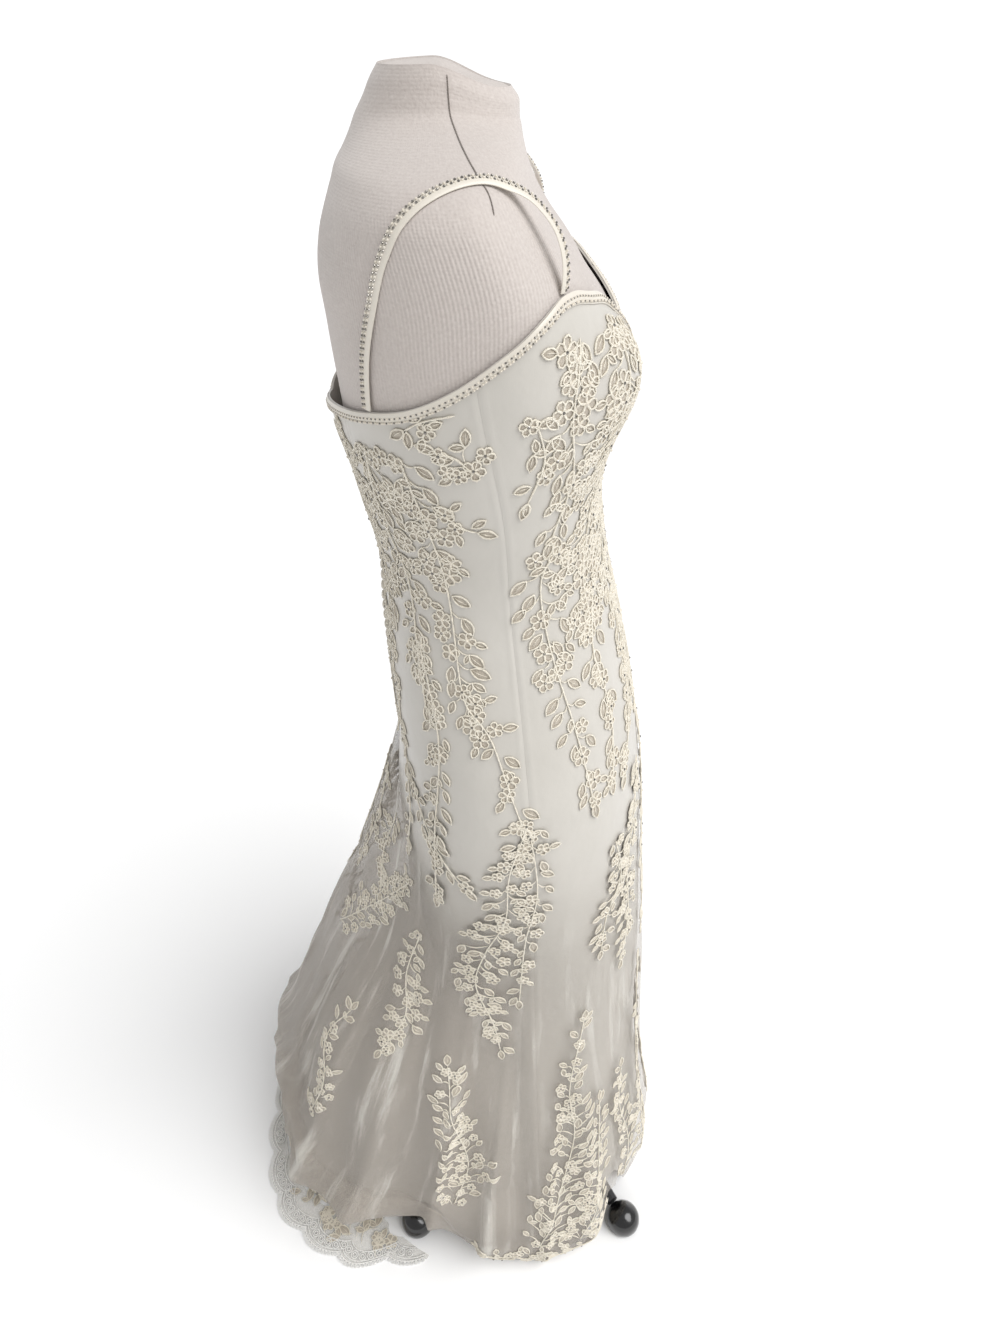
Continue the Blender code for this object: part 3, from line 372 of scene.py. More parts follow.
# finer creases between the main folds
netCreases = np.array([
    (76, 1.6, 0.0030, 0.46, 0.00, 9), (91, 1.5, 0.0040, 0.52, 0.03, 13), (104, 1.6, 0.0045, 0.56, 0.05, 16),
    (109, 1.4, 0.0035, 0.40, 0.03, 10), (119, 1.7, 0.0050, 0.62, 0.06, 18), (126, 1.5, 0.0040, 0.50, 0.05, 12),
    (138, 1.8, 0.0050, 0.64, 0.07, 14), (154, 1.7, 0.0045, 0.60, 0.08, 8), (172, 1.6, 0.0040, 0.58, 0.08, 4),
    (194, 1.6, 0.0040, 0.58, 0.08, -5), (210, 1.7, 0.0045, 0.62, 0.08, -9), (228, 1.6, 0.0050, 0.60, 0.06, -14),
    (244, 1.5, 0.0040, 0.52, 0.05, -14), (259, 1.6, 0.0040, 0.50, 0.03, -12), (276, 1.5, 0.0035, 0.46, 0.02, -9),
    (52, 1.6, 0.0030, 0.42, 0.02, 5), (26, 1.6, 0.0025, 0.40, 0.02, 4), (301, 1.6, 0.0030, 0.42, 0.02, -6),
    (330, 1.6, 0.0025, 0.40, 0.02, -4),
])
# angle, width in degrees, height, depth
netPools = np.array([(138, 17, 0.105, 0.022), (165, 12, 0.070, 0.007), (222, 17, 0.100, 0.021), (200, 12, 0.075, 0.007)])
poolTall = 0.036
stand = {"legAngles": (57.0, 127.0, 233.0, 303.0), "legLift": 0.062, "legSpread": 8.5, "footReach": 0.258}


def section(angle, table, height):
    # rounded section: radius is (|cos/reach|^p + |sin/side|^p)^(-1/p)
    front, back, side, power = (smooth(table, column, height) for column in ("front", "back", "side", "power"))
    turn = np.radians(angle)
    ahead, across = np.cos(turn), np.sin(turn)
    reach = np.where(ahead > 0, front, back)
    radius = (np.abs(ahead / reach) ** power + np.abs(across / side) ** power) ** (-1 / power)
    return -radius * across, -radius * ahead


def formPoint(angle, height, dip=None, lower=None):
    # section of the form, plus the bust as a bell across and down, minus the neck's tilt
    angle, height = np.broadcast_arrays(np.asarray(angle, float), np.asarray(height, float))
    dip = form["dip"] if dip is None else dip
    lower = form["bustLower"] if lower is None else lower
    x, y = section(angle, form, height)
    ahead = np.cos(np.radians(angle))
    out = np.abs(x) / form["bustOut"]
    beyond = np.exp(-(((np.abs(x) - form["bustOut"]) / form["bustWide"]) ** 2))
    across = np.where(out > 1, beyond, 1 - dip * (1 - np.minimum(out, 1) ** 2) ** 2)
    spread = np.where(height > form["bustHeight"], form["bustUpper"], lower)
    bust = form["bustRise"] * across * np.exp(-(((height - form["bustHeight"]) / spread) ** 2)) * ease(ahead, 0.05, 0.45)
    tilt = form["neckTilt"] * ease(height, form["neckTiltFrom"], form["neckTop"]) * ease(ahead, -0.1, 1.0)
    return np.stack([x, y + smooth(form, "middle", height) - bust, height - tilt], -1)


def movedOut(surface, angle, height, distance):
    # points of a surface plus its unit normal times a distance
    angle, height = np.broadcast_arrays(np.asarray(angle, float), np.asarray(height, float))
    across = surface(angle + 0.05, height) - surface(angle - 0.05, height)
    up = surface(angle, height + 0.0005) - surface(angle, height - 0.0005)
    return surface(angle, height) + unit(np.cross(up, across)) * (np.zeros(angle.shape) + distance)[..., None]


def fitted(angle, height):
    point = formPoint(angle, height, form["gownDip"], form["gownLower"])
    point[..., 1] += form["gape"] * ease(height, 1.10, 1.165) * ease(folded(angle), 135, 175)
    return point


def skirtBase(angle, height):
    # section of the satin skirt, scaled towards the hem's plan near the floor
    x, y = section(angle, satinSkirt, height)
    plan = smooth(hemPlan, "radius", folded(angle), "angle")
    scale = 1 + (1 - ease(height, 0.0, satinSkirt["hemBlend"])) * (plan / np.hypot(x, y) - 1)
    return np.stack([x * scale, y * scale, height], -1)


def satinInside(angle, height):
    # the bodice moved out by a clearance, blended into the skirt over the hip
    angle, height = np.broadcast_arrays(np.asarray(angle, float), np.asarray(height, float))
    close = movedOut(fitted, angle, np.maximum(height, form["formBottom"]), form["clearance"])
    loose = skirtBase(angle, np.minimum(height, 0.800))
    loose[..., 2] = height
    close[..., 2] = np.where(height < form["formBottom"], height, close[..., 2])
    down = (1 - ease(height, *satinSkirt["hipBlend"]))[..., None]
    return close * (1 - down) + loose * down


def satinOutside(angle, height):
    return movedOut(satinInside, angle, height, satinSkirt["wall"])


def ridges(rows, angle, height, wide=0.06):
    # each ridge is a bell across, fading in below its top and out at its bottom
    out = np.zeros(np.shape(angle))
    for start, width, depth, top, bottom, drift in rows:
        down = np.clip((top - height) / top, 0, 1)
        off = apart(angle, start + drift * down) / width
        out += depth * np.exp(-(off**2)) * ease(down, 0.0, 0.5) * ease(height, bottom - 0.03, bottom + wide)
    return out


def hemLift(angle):
    return stand["legLift"] * sum(np.exp(-((apart(angle, leg) / stand["legSpread"]) ** 4)) for leg in stand["legAngles"])


def netInside(angle, height, fine=True):
    # the satin pushed out along the ground by the stand-off, the folds and the pools
    angle, height = np.broadcast_arrays(np.asarray(angle, float), np.asarray(height, float))
    base = satinOutside(angle, height)
    level = height + netSkirt["tipDrop"] * ease(180 - folded(angle), 8, 48) * ease(height, 0.0, 0.08)
    ahead = np.cos(np.radians(angle))
    toFront, toBack = np.maximum(ahead, 0) ** 2, np.maximum(-ahead, 0) ** 1.5
    front, side, back = (smooth(netSkirt, column, level) for column in ("front", "side", "back"))
    out = front * toFront + back * toBack + side * (1 - toFront - toBack)
    bulge = ridges(netFolds, angle, height)
    if fine:
        bulge = bulge + 1.35 * ridges(netCreases, angle, height, 0.03)
    for at, width, level, depth in netPools:
        bulge = bulge + depth * np.exp(-((apart(angle, at) / width) ** 2) - ((height - level) / poolTall) ** 2)
    out = netSkirt["gap"] + out + bulge * ease(height, 0.0, 0.03)
    radius = np.hypot(base[..., 0], base[..., 1])
    point = base.copy()
    point[..., :2] += base[..., :2] / radius[..., None] * out[..., None]
    return point


def neckHeight(angle):
    return smooth(neckline, "height", folded(angle), "angle")


# ---- skins: surfaces sampled once, on which lace, beads and trims are laid ----

def makeSkin(surface, low, high, rowStep=0.0025, angleStep=0.5):
    heights = np.arange(low, high + rowStep, rowStep)
    angles = np.arange(-3.0, 363.0 + angleStep, angleStep)
    points = surface(angles[None, :], heights[:, None])
    across, up = np.gradient(points, angleStep, axis=1), np.gradient(points, rowStep, axis=0)
    return {"low": low, "rowStep": rowStep, "angleStep": angleStep, "points": points,
            "normals": unit(np.cross(up, across)),
            "perDegree": np.linalg.norm(across, axis=2), "perMetre": np.linalg.norm(up, axis=2)}


def sample(skin, field, angle, height):
    # bilinear look-up
    grid = skin[field]
    column = (np.mod(angle, 360) + 3.0) / skin["angleStep"]
    row = np.clip((height - skin["low"]) / skin["rowStep"], 0, grid.shape[0] - 1.001)
    i, j = row.astype(int), column.astype(int)
    s, t = row - i, column - j
    if grid.ndim == 3:
        s, t = s[..., None], t[..., None]
    return (grid[i, j] * (1 - s) * (1 - t) + grid[i + 1, j] * s * (1 - t)
            + grid[i, j + 1] * (1 - s) * t + grid[i + 1, j + 1] * s * t)


def onSkin(skin, angle, height, off):
    angle, height = np.broadcast_arrays(np.asarray(angle, float), np.asarray(height, float))
    return sample(skin, "points", angle, height) + unit(sample(skin, "normals", angle, height)) * (
        np.zeros(angle.shape) + off)[..., None]


def gownOutside(angle, height):
    # satin above the hip, net below it
    angle, height = np.broadcast_arrays(np.asarray(angle, float), np.asarray(height, float))
    net = netInside(angle, np.minimum(height, netSkirt["top"]))
    net[..., :2] *= 1 + netSkirt["wall"] / np.hypot(net[..., 0], net[..., 1])[..., None]
    net[..., 2] = height
    share = ease(height, 0.775, 0.800)[..., None]
    return satinOutside(angle, height) * share + net * (1 - share)


gownSkin = makeSkin(gownOutside, 0.0, 1.290)
satinSkin = makeSkin(satinOutside, 0.0, 1.290)
formSkin = makeSkin(formPoint, 1.10, 1.398)
print("surfaces sampled")


# ---- satin panels ----

panelStyle = {"bodiceRows": 110, "skirtRows": 70, "knee": 0.700, "columnWidth": 2.6, "seamDip": 0.00025, "seamWide": 0.5,
              "ridge": 0.0005, "ridgeAt": 1.5, "ridgeWide": 0.7}


def edgeAngles(low, high, share, edge):
    angle = low(0.8) * (1 - share) + high(0.8) * share
    for _ in range(3):
        height = edge(angle)
        angle = low(height) * (1 - share) + high(height) * share
    return angle


def seamAngle(column, side, shift):
    # a seam by height, half the gap to one side, on the wearer's right (1) or left (-1)
    def at(height):
        angle = 180.0 if column == "centreBack" else smooth(seams, column, height)
        return side * (angle + shift * math.degrees(0.5 * seams["gap"] / seams["reach"]))
    return at


def satinPanel(name, node, low, high):
    style = panelStyle
    count = max(8, int(abs(high(0.9) - low(0.9)) / style["columnWidth"]) * 2)
    share = np.linspace(0, 1, count + 1)
    share = share - 0.45 * np.sin(2 * np.pi * share) / (2 * np.pi)  # closer columns at the seams
    top, hem = edgeAngles(low, high, share, neckHeight), edgeAngles(low, high, share, hemLift)
    bodice = np.linspace(0, 1, style["bodiceRows"] + 1)[:, None]
    skirt = np.linspace(0, 1, style["skirtRows"] + 1)[1:, None]
    heights = np.concatenate([
        neckHeight(top)[None, :] * (1 - bodice) + style["knee"] * bodice,
        style["knee"] * (1 - skirt) + hemLift(hem)[None, :] * skirt])
    angle = low(heights) * (1 - share) + high(heights) * share
    fromSeam = np.minimum(np.abs(angle - low(heights)), np.abs(high(heights) - angle))
    dip = style["seamDip"] * (1 - ease(fromSeam, 0.0, style["seamWide"]))
    dip = dip - style["ridge"] * np.exp(-(((fromSeam - style["ridgeAt"]) / style["ridgeWide"]) ** 2)) * ease(heights, 0.02, 0.05)
    inside = satinInside(angle, heights)
    outside = movedOut(satinInside, angle, heights, satinSkirt["wall"] - dip)
    for grid in (inside, outside):
        grid[-1, :, 2] = hemLift(hem)
    inside, outside = inside[:, ::-1], outside[:, ::-1]
    panel = meshFrom(name, np.concatenate([outside.reshape(-1, 3), inside.reshape(-1, 3)]),
                     [wallFaces(*outside.shape[:2])], [satin])
    onRoot(panel, "satin", node)
    declareCloth(panel)
    return panel


def makePanels():
    satinPanel("frontCentreSatin", "front_centre_panel", seamAngle("princess", -1, -1), seamAngle("princess", 1, -1))
    for word, node, first, last in (("frontSide", "front_side_panel", "princess", "side"),
                                    ("backSide", "back_side_panel", "side", "back"),
                                    ("back", "back_panel", "back", "centreBack")):
        satinPanel(word + "SatinRight", node + "_right", seamAngle(first, 1, 1), seamAngle(last, 1, -1))
        satinPanel(word + "SatinLeft", node + "_left", seamAngle(last, -1, -1), seamAngle(first, -1, 1))


makePanels()
print("satin panels made")


# ---- net skirt with its rolled fold at the back ----

netStyle = {"columns": 170, "rows": 90, "curlRows": 12, "lowRows": 14, "curl": 0.011, "lowOff": 0.005}
# how much the net is rolled under, and how high the roll hangs, by the angle from the front
netRoll = {
    "angle": [0, 108, 114, 120, 130, 143, 153, 165, 180],
    "share": [0, 0, 0.35, 0.8, 1, 1, 1, 1, 1],
    "height": [0.10, 0.10, 0.105, 0.105, 0.110, 0.112, 0.110, 0.104, 0.100],
}


def netSheet(name, node, start):
    # down the outside, round the roll's half circle, then down against the satin to the floor; where there is no
    # roll the same rows simply go down to the hem
    style = netStyle
    gap = math.degrees(0.5 * seams["gap"] / seams["reach"])
    angle = np.linspace(start + gap, start + 180 - gap, style["columns"] + 1)[None, :]
    share = np.clip(smooth(netRoll, "share", folded(angle), "angle"), 0, 1)
    rollHeight = smooth(netRoll, "height", folded(angle), "angle")
    lift = hemLift(angle)
    top = netSkirt["top"]
    down = np.linspace(0, 1, style["rows"] + 1)[:, None]
    # plain rows: the whole way to the hem in as many steps as all the rows together
    total = style["rows"] + style["curlRows"] + style["lowRows"]
    plainLevel = top * (1 - np.linspace(0, 1, total + 1)[:, None]) + lift * np.linspace(0, 1, total + 1)[:, None]
    plain = netInside(np.broadcast_to(angle, plainLevel.shape), plainLevel)
    # rolled rows
    wave = 1 + 0.25 * np.sin(np.radians(angle * 9.0)) + 0.15 * np.sin(np.radians(angle * 23.0 + 40))
    curl = style["curl"] * wave
    fallLevel = top * (1 - down) + (rollHeight + curl) * down
    fall = netInside(np.broadcast_to(angle, fallLevel.shape), fallLevel)
    edge = fall[-1:]
    radius = np.hypot(edge[..., 0], edge[..., 1])
    out = edge[..., :2] / radius[..., None]
    turn = np.linspace(0, np.pi, style["curlRows"] + 1)[1:, None]
    curlReach = radius - curl + curl * np.cos(turn)
    curlPart = np.concatenate([out * curlReach[..., None],
                               (rollHeight + curl - curl * np.sin(turn) * 1.4)[..., None]], -1)
    foot = satinOutside(angle, np.zeros_like(angle) + lift)
    low = np.linspace(0, 1, style["lowRows"] + 1)[1:, None]
    lowLevel = (rollHeight + curl) * (1 - low) + lift * low
    near = satinOutside(np.broadcast_to(angle, lowLevel.shape), lowLevel)
    nearReach = np.hypot(near[..., 0], near[..., 1]) + netSkirt["gap"] + style["lowOff"] * (1 - low)
    fromCurl = radius - 2 * curl
    blend = ease(low, 0.0, 0.35)
    lowReach = np.maximum(fromCurl * (1 - blend) + nearReach * blend, nearReach)
    lowPart = np.concatenate([out * lowReach[..., None], lowLevel[..., None]], -1)
    rolled = np.concatenate([fall, curlPart, lowPart])
    inside = plain * (1 - share[..., None]) + rolled * share[..., None]
    across, along = np.gradient(inside, axis=1), -np.gradient(inside, axis=0)
    outside = inside + unit(np.cross(along, across)) * netSkirt["wall"]
    for grid in (inside, outside):
        grid[0, :, 2], grid[-1, :, 2] = top, lift[0]
    level = np.concatenate([fallLevel, np.broadcast_to(rollHeight, (style["curlRows"],) + angle.shape[1:]), lowLevel])
    fullness = ease(top - level, 0.01, 0.36 - 0.27 * ease(folded(angle), 105, 145)) * (
        0.42 + 0.58 * ease(folded(angle), 60, 125)) + 0.45 * ease(top - level, 0.01, 0.10) * ease(folded(angle), 125, 155)
    fullness = np.minimum(fullness + 0.45 * ease(0.14 - level, 0.0, 0.12) * ease(folded(angle), 30, 90), 1.0)
    lean = np.sign(180 - angle) * 22.0 * ease(folded(angle), 70, 130) * (1 - level / top)
    strip = np.stack([(angle - lean) * 0.0034, level + 0 * angle], -1)
    outside, inside, fullness, strip = outside[:, ::-1], inside[:, ::-1], fullness[:, ::-1], strip[:, ::-1].reshape(-1, 2)
    piece = meshFrom(name, np.concatenate([outside.reshape(-1, 3), inside.reshape(-1, 3)]),
                     [wallFaces(*outside.shape[:2])], [tulle], layer=np.concatenate([fullness, fullness]),
                     uv=np.concatenate([strip, strip]))
    onRoot(piece, "net", node)
    declareCloth(piece)
    return piece


netRight = netSheet("netSkirtRight", "net_skirt_right", 0.0)
netLeft = netSheet("netSkirtLeft", "net_skirt_left", 180.0)
print("net skirt made")


# ---- dress form and stand ----

formStyle = {"columns": 160, "rows": 150, "inset": 0.0015, "valley": 0.40}


def makeForm():
    # the form's skin by rows, closed by flat discs, with its top edge rounded over
    style = formStyle
    angle = (np.arange(style["columns"]) * 360 / style["columns"])[None, :]
    low, high = form["formBottom"], form["neckTop"]
    level = np.linspace(low, high, style["rows"] + 1)[:, None]
    level = low + (high - low) * np.sin(0.5 * np.pi * np.linspace(0, 1, style["rows"] + 1))[:, None] ** 0.9
    angle, level = np.broadcast_arrays(angle, level)
    # the jersey bridges the valley between the breasts, so the gown stands close to it there
    rings = movedOut(lambda a, h: formPoint(a, h, style["valley"]), angle, level, -style["inset"] * (1 - ease(level, 1.24, 1.28)))
    rings[0, :, 2] = low
    middle = rings[-1].mean(axis=0)
    shrink = np.array([0.965, 0.90, 0.60, 0.25, 0.02])[:, None, None]
    cap = middle + (rings[-1] - middle) * shrink
    cap[..., 2] += np.array([0.0016, 0.0026, 0.0030, 0.0030, 0.0030])[:, None] - 0.0030
    rings[-1] -= (0, 0, 0.0030)
    base = rings[0].mean(axis=0) + (rings[0] - rings[0].mean(axis=0)) * np.array([0.02, 0.6])[:, None, None]
    rings = np.concatenate([base, rings, cap])[:, ::-1]
    rows, columns = rings.shape[:2]
    side = tubeFaces(rows, columns, False)
    around = np.linspace(0, 1, columns, endpoint=False)[::-1]
    lengths = np.linalg.norm(np.diff(rings, axis=0), axis=2).mean(axis=1)
    uv = np.stack([np.broadcast_to(around, (rows, columns)),
                   np.broadcast_to(np.concatenate([[0], np.cumsum(lengths)])[:, None], (rows, columns))], -1)
    bottom = np.arange(columns)[None, ::-1]
    top = ((rows - 1) * columns + np.arange(columns))[None, :]
    ribDepth = 0.12 + 0.88 * (1 - ease(rings[..., 2], 1.295, 1.335))
    torso = meshFrom("formTorso", rings, [side, bottom, top], [knit], layer=ribDepth, uv=uv.reshape(-1, 2))
    return onRoot(torso, "knit_cover", "form_torso")


def makeFoot(number, angle):
    # a moulded foot: a profile of radius and height turned about its middle
    profile = np.array([(0.0001, 0.0), (0.0175, 0.0), (0.0205, 0.0008), (0.0225, 0.0040), (0.0230, 0.0090), (0.0226, 0.0160),
                        (0.0205, 0.0225), (0.0165, 0.0275), (0.0115, 0.0310), (0.0080, 0.0335), (0.0001, 0.0340)])
    turn = np.linspace(0, 2 * np.pi, 40, endpoint=False)[None, :]
    away = math.radians(angle)
    x = profile[:, :1] * np.cos(turn) - math.sin(away) * stand["footReach"]
    y = profile[:, :1] * np.sin(turn) - math.cos(away) * stand["footReach"]
    rings = np.stack([x, y, np.broadcast_to(profile[:, 1:], x.shape)], -1)
    size = rings.shape[:2]
    foot = meshFrom(f"standFoot{number}", rings, [tubeFaces(*size, False), *endFaces(*size)], [rubber])
    return onRoot(foot, "stand_foot", f"stand_foot_{number}")


def makeFormSeams():
    # the cover's shoulder seams, from the neck over the shoulder to a small dart
    line = {"height": [1.321, 1.333, 1.341, 1.353, 1.366, 1.380, 1.396], "angle": [81.5, 81.0, 82.0, 82.5, 81.5, 80.7, 80.2]}
    height = np.linspace(1.396, 1.322, 60)
    for word, side in (("Right", 1), ("Left", -1)):
        points, faces = stemMesh(side * smooth(line, "angle", height), height, 0.0006, 0.0001, formSkin, knots=0.0)
        onRoot(meshFrom("shoulderSeam" + word, points, [faces], [seamThread]), "knit_cover")


makeForm()
for number, angle in enumerate(stand["legAngles"], 1):
    makeFoot(number, angle)
for node in ["stand_pole", "stand_hub"] + [f"stand_leg_{number}" for number in range(1, 5)]:
    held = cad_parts[node]
    held.data.materials.clear()
    held.data.materials.append(enamel)
print("form and stand made")


# ---- corded lace: leaves, petals and stems as small tubes laid on the gown ----

def leafLoop(length, width, steps):
    # pointed oval: across is width/2 times sin(pi s)^0.8, up one side and down the other
    s = np.linspace(0, 1, steps // 2 + 1)
    side = 0.5 * width * np.sin(np.pi * s) ** 0.8
    up = np.stack([side, s * length], -1)
    down = np.stack([-side[1:-1], s[1:-1] * length], -1)[::-1]
    return np.concatenate([up, down])


def petalLoop(length, width, steps):
    # round-headed petal: a teardrop with its point at the flower's middle
    t = np.linspace(0, 2 * np.pi, steps, endpoint=False)
    v = length * (0.5 - 0.5 * np.cos(t))
    return np.stack([0.5 * width * np.sin(t) * np.abs(np.sin(t / 2)) ** 0.7, v], -1)


def ringLoop(radius, steps):
    t = np.linspace(0, 2 * np.pi, steps, endpoint=False)
    return radius * np.stack([np.sin(t), -np.cos(t)], -1)


def placed(shape, turn, at=(0.0, 0.0)):
    # turns a local outline (positive anticlockwise) and moves it
    c, s = math.cos(turn), math.sin(turn)
    return np.stack([shape[:, 0] * c - shape[:, 1] * s + at[0], shape[:, 0] * s + shape[:, 1] * c + at[1]], -1)


def laid(u, v, w, centre, skin):
    # local metres to points on a skin, by the skin's stretch at the motif's centre
    perDegree = sample(skin, "perDegree", centre[..., 0], centre[..., 1])
    perMetre = sample(skin, "perMetre", centre[..., 0], centre[..., 1])
    return onSkin(skin, centre[..., 0] - u / perDegree, centre[..., 1] + v / perMetre, w)


def cordMeshes(lines, centres, radius, sides, lift, skin, closed=True):
    # lines: equal-length runs of local points, each with its own centre on the skin. Round every point stands a
    # small ring, in the plane of the line's sideways direction and the cloth's normal; open lines taper at both ends
    lines = np.array(lines)
    count, steps = lines.shape[:2]
    if closed:
        along = np.roll(lines, -1, axis=1) - np.roll(lines, 1, axis=1)
        thick = radius * (1 + lace["knots"] * np.cos(np.arange(steps) * np.pi))
    else:
        along = np.gradient(lines, axis=1)
        thick = radius * (1 + lace["knots"] * np.cos(np.arange(steps) * np.pi))
        thick[0] = thick[-1] = 0.2 * radius
    side = unit(np.stack([along[..., 1], -along[..., 0]], -1))
    turn = (np.arange(sides) + 0.5) * 2 * np.pi / sides
    u = lines[:, :, None, 0] + side[:, :, None, 0] * np.cos(turn) * thick[:, None]
    v = lines[:, :, None, 1] + side[:, :, None, 1] * np.cos(turn) * thick[:, None]
    w = lift + np.sin(turn) * thick[:, None] + 0 * u
    points = laid(u, v, w, centres[:, None, None, :], skin)
    faces = tubeFaces(steps, sides, closed)[None] + (np.arange(count) * steps * sides)[:, None, None]
    return points.reshape(-1, 3), faces.reshape(-1, 4)


def fillMeshes(outlines, centres, lift, crown, skin):
    # a low cushion inside each outline: fan from the middle point to the outline
    outlines = np.array(outlines)
    count, steps = outlines.shape[:2]
    middle = outlines.mean(axis=1)
    u = np.concatenate([outlines[..., 0], middle[:, None, 0]], 1)
    v = np.concatenate([outlines[..., 1], middle[:, None, 1]], 1)
    w = np.concatenate([np.full((count, steps), lift), np.full((count, 1), lift + crown)], 1)
    points = laid(u, v, w, centres[:, None, :], skin)
    ring = np.arange(steps)
    fan = np.stack([ring, np.roll(ring, -1), np.full(steps, steps)], -1)
    shift = (np.arange(count) * (steps + 1))[:, None, None]
    return points.reshape(-1, 3), (fan[None] + shift).reshape(-1, 3)


def beadShape(radius, columns=6):
    # a faceted stone: rings of width and rise, then its point
    turn = np.arange(columns) * 2 * np.pi / columns
    rings = [(0.85, 0.0), (1.0, 0.45), (0.62, 1.05)]
    shape = np.concatenate([np.stack([r * np.cos(turn), r * np.sin(turn), np.full(columns, h)], -1) for r, h in rings]
                           + [np.array([[0.0, 0.0, 1.3]])]) * radius
    ring = np.arange(columns)
    after = np.roll(ring, -1)
    band = np.concatenate([quads(ring, after, after + columns, ring + columns),
                           quads(ring + columns, after + columns, after + 2 * columns, ring + 2 * columns)])
    fan = np.stack([ring + 2 * columns, after + 2 * columns, np.full(columns, 3 * columns)], -1)
    return shape, [band, fan, ring[::-1][None]]


def repeated(faceSets, size, count):
    # the same faces for each of many equal shapes
    shift = (np.arange(count) * size)[:, None, None]
    return [(faces[None] + shift).reshape(-1, faces.shape[1]) for faces in faceSets]


def stemMesh(angle, height, radius, lift, skin, sides=4, knots=0.25):
    # a tube along a path on the skin, its radius swelling and shrinking like a twisted cord
    centre = onSkin(skin, angle, height, lift)
    normal = unit(sample(skin, "normals", angle, height))
    along = unit(np.gradient(centre, axis=0))
    side = unit(np.cross(normal, along))
    turn = -(np.arange(sides) + 0.5) * 2 * np.pi / sides
    swell = radius * (1 + knots * np.sin(np.arange(len(angle)) * 2.1))
    swell[0], swell[-1] = 0.25 * radius, 0.25 * radius
    points = centre[:, None] + swell[:, None, None] * (
        np.cos(turn)[None, :, None] * side[:, None] + np.sin(turn)[None, :, None] * normal[:, None])
    return points.reshape(-1, 3), tubeFaces(len(angle), sides, False)


def joined(name, parts, materials, slot, smoothShade=True):
    # joins (points, face arrays, material index) parts into one piece
    points, faceSets, slots, start = [], [], [], 0
    for partPoints, partFaces, index in parts:
        points.append(partPoints)
        for faces in partFaces:
            faceSets.append(np.asarray(faces) + start)
            slots.append(np.full(len(faces), index))
        start += len(partPoints)
    piece = meshFrom(name, np.concatenate(points), faceSets, materials, np.concatenate(slots), smoothShade)
    return onRoot(piece, slot)


lace = {"cordRadius": 0.00085, "veinRadius": 0.0006, "stemRadius": 0.0009, "knots": 0.16, "cordLift": 0.0011,
        "fillLift": 0.0003, "fillCrown": 0.0009, "leafSteps": 12, "petalSteps": 8}


def pathOf(points, skin, pitch=0.004):
    # smooth path through (angle, height) pairs, at even steps along the cloth
    points = np.array(points, float)
    s = np.linspace(0, 1, len(points))
    t = np.linspace(0, 1, 400)
    slope = np.gradient(points, s, axis=0)
    i = np.clip(np.searchsorted(s, t) - 1, 0, len(s) - 2)
    step = (s[i + 1] - s[i])[:, None]
    f = ((t - s[i])[:, None]) / step
    a, b = points[i], points[i + 1]
    curve = a + f * (b - a) + f * (1 - f) * ((1 - f) * (slope[i] * step - (b - a)) + f * ((b - a) - slope[i + 1] * step))
    spots = onSkin(skin, curve[:, 0], curve[:, 1], 0.0)
    length = np.concatenate([[0], np.cumsum(np.linalg.norm(np.diff(spots, axis=0), axis=1))])
    even = np.linspace(0, length[-1], max(4, int(length[-1] / pitch)) + 1)
    return np.interp(even, length, curve[:, 0]), np.interp(even, length, curve[:, 1]), even


def headings(angle, height, skin):
    # direction of a path in the cloth's plane, as an angle from straight up, anticlockwise seen from outside
    du = -np.gradient(angle) * sample(skin, "perDegree", angle, height)
    dv = np.gradient(height) * sample(skin, "perMetre", angle, height)
    return np.arctan2(-du, dv)


def spread(dice, length, even, half, room):
    # spots along and beside a path, thrown at random and kept when no nearer than room to any other
    tries = int(10 * 2 * half.mean() * length / room**2) + 24
    along = dice.uniform(0.002, length, tries)
    beside = dice.uniform(-1, 1, tries) * np.interp(along, even, half)
    kept = np.zeros((0, 2))
    for spot in np.stack([along, beside], -1):
        if not len(kept) or np.min(np.sum((kept - spot) ** 2, axis=1)) > room**2:
            kept = np.concatenate([kept, spot[None]])
    return kept


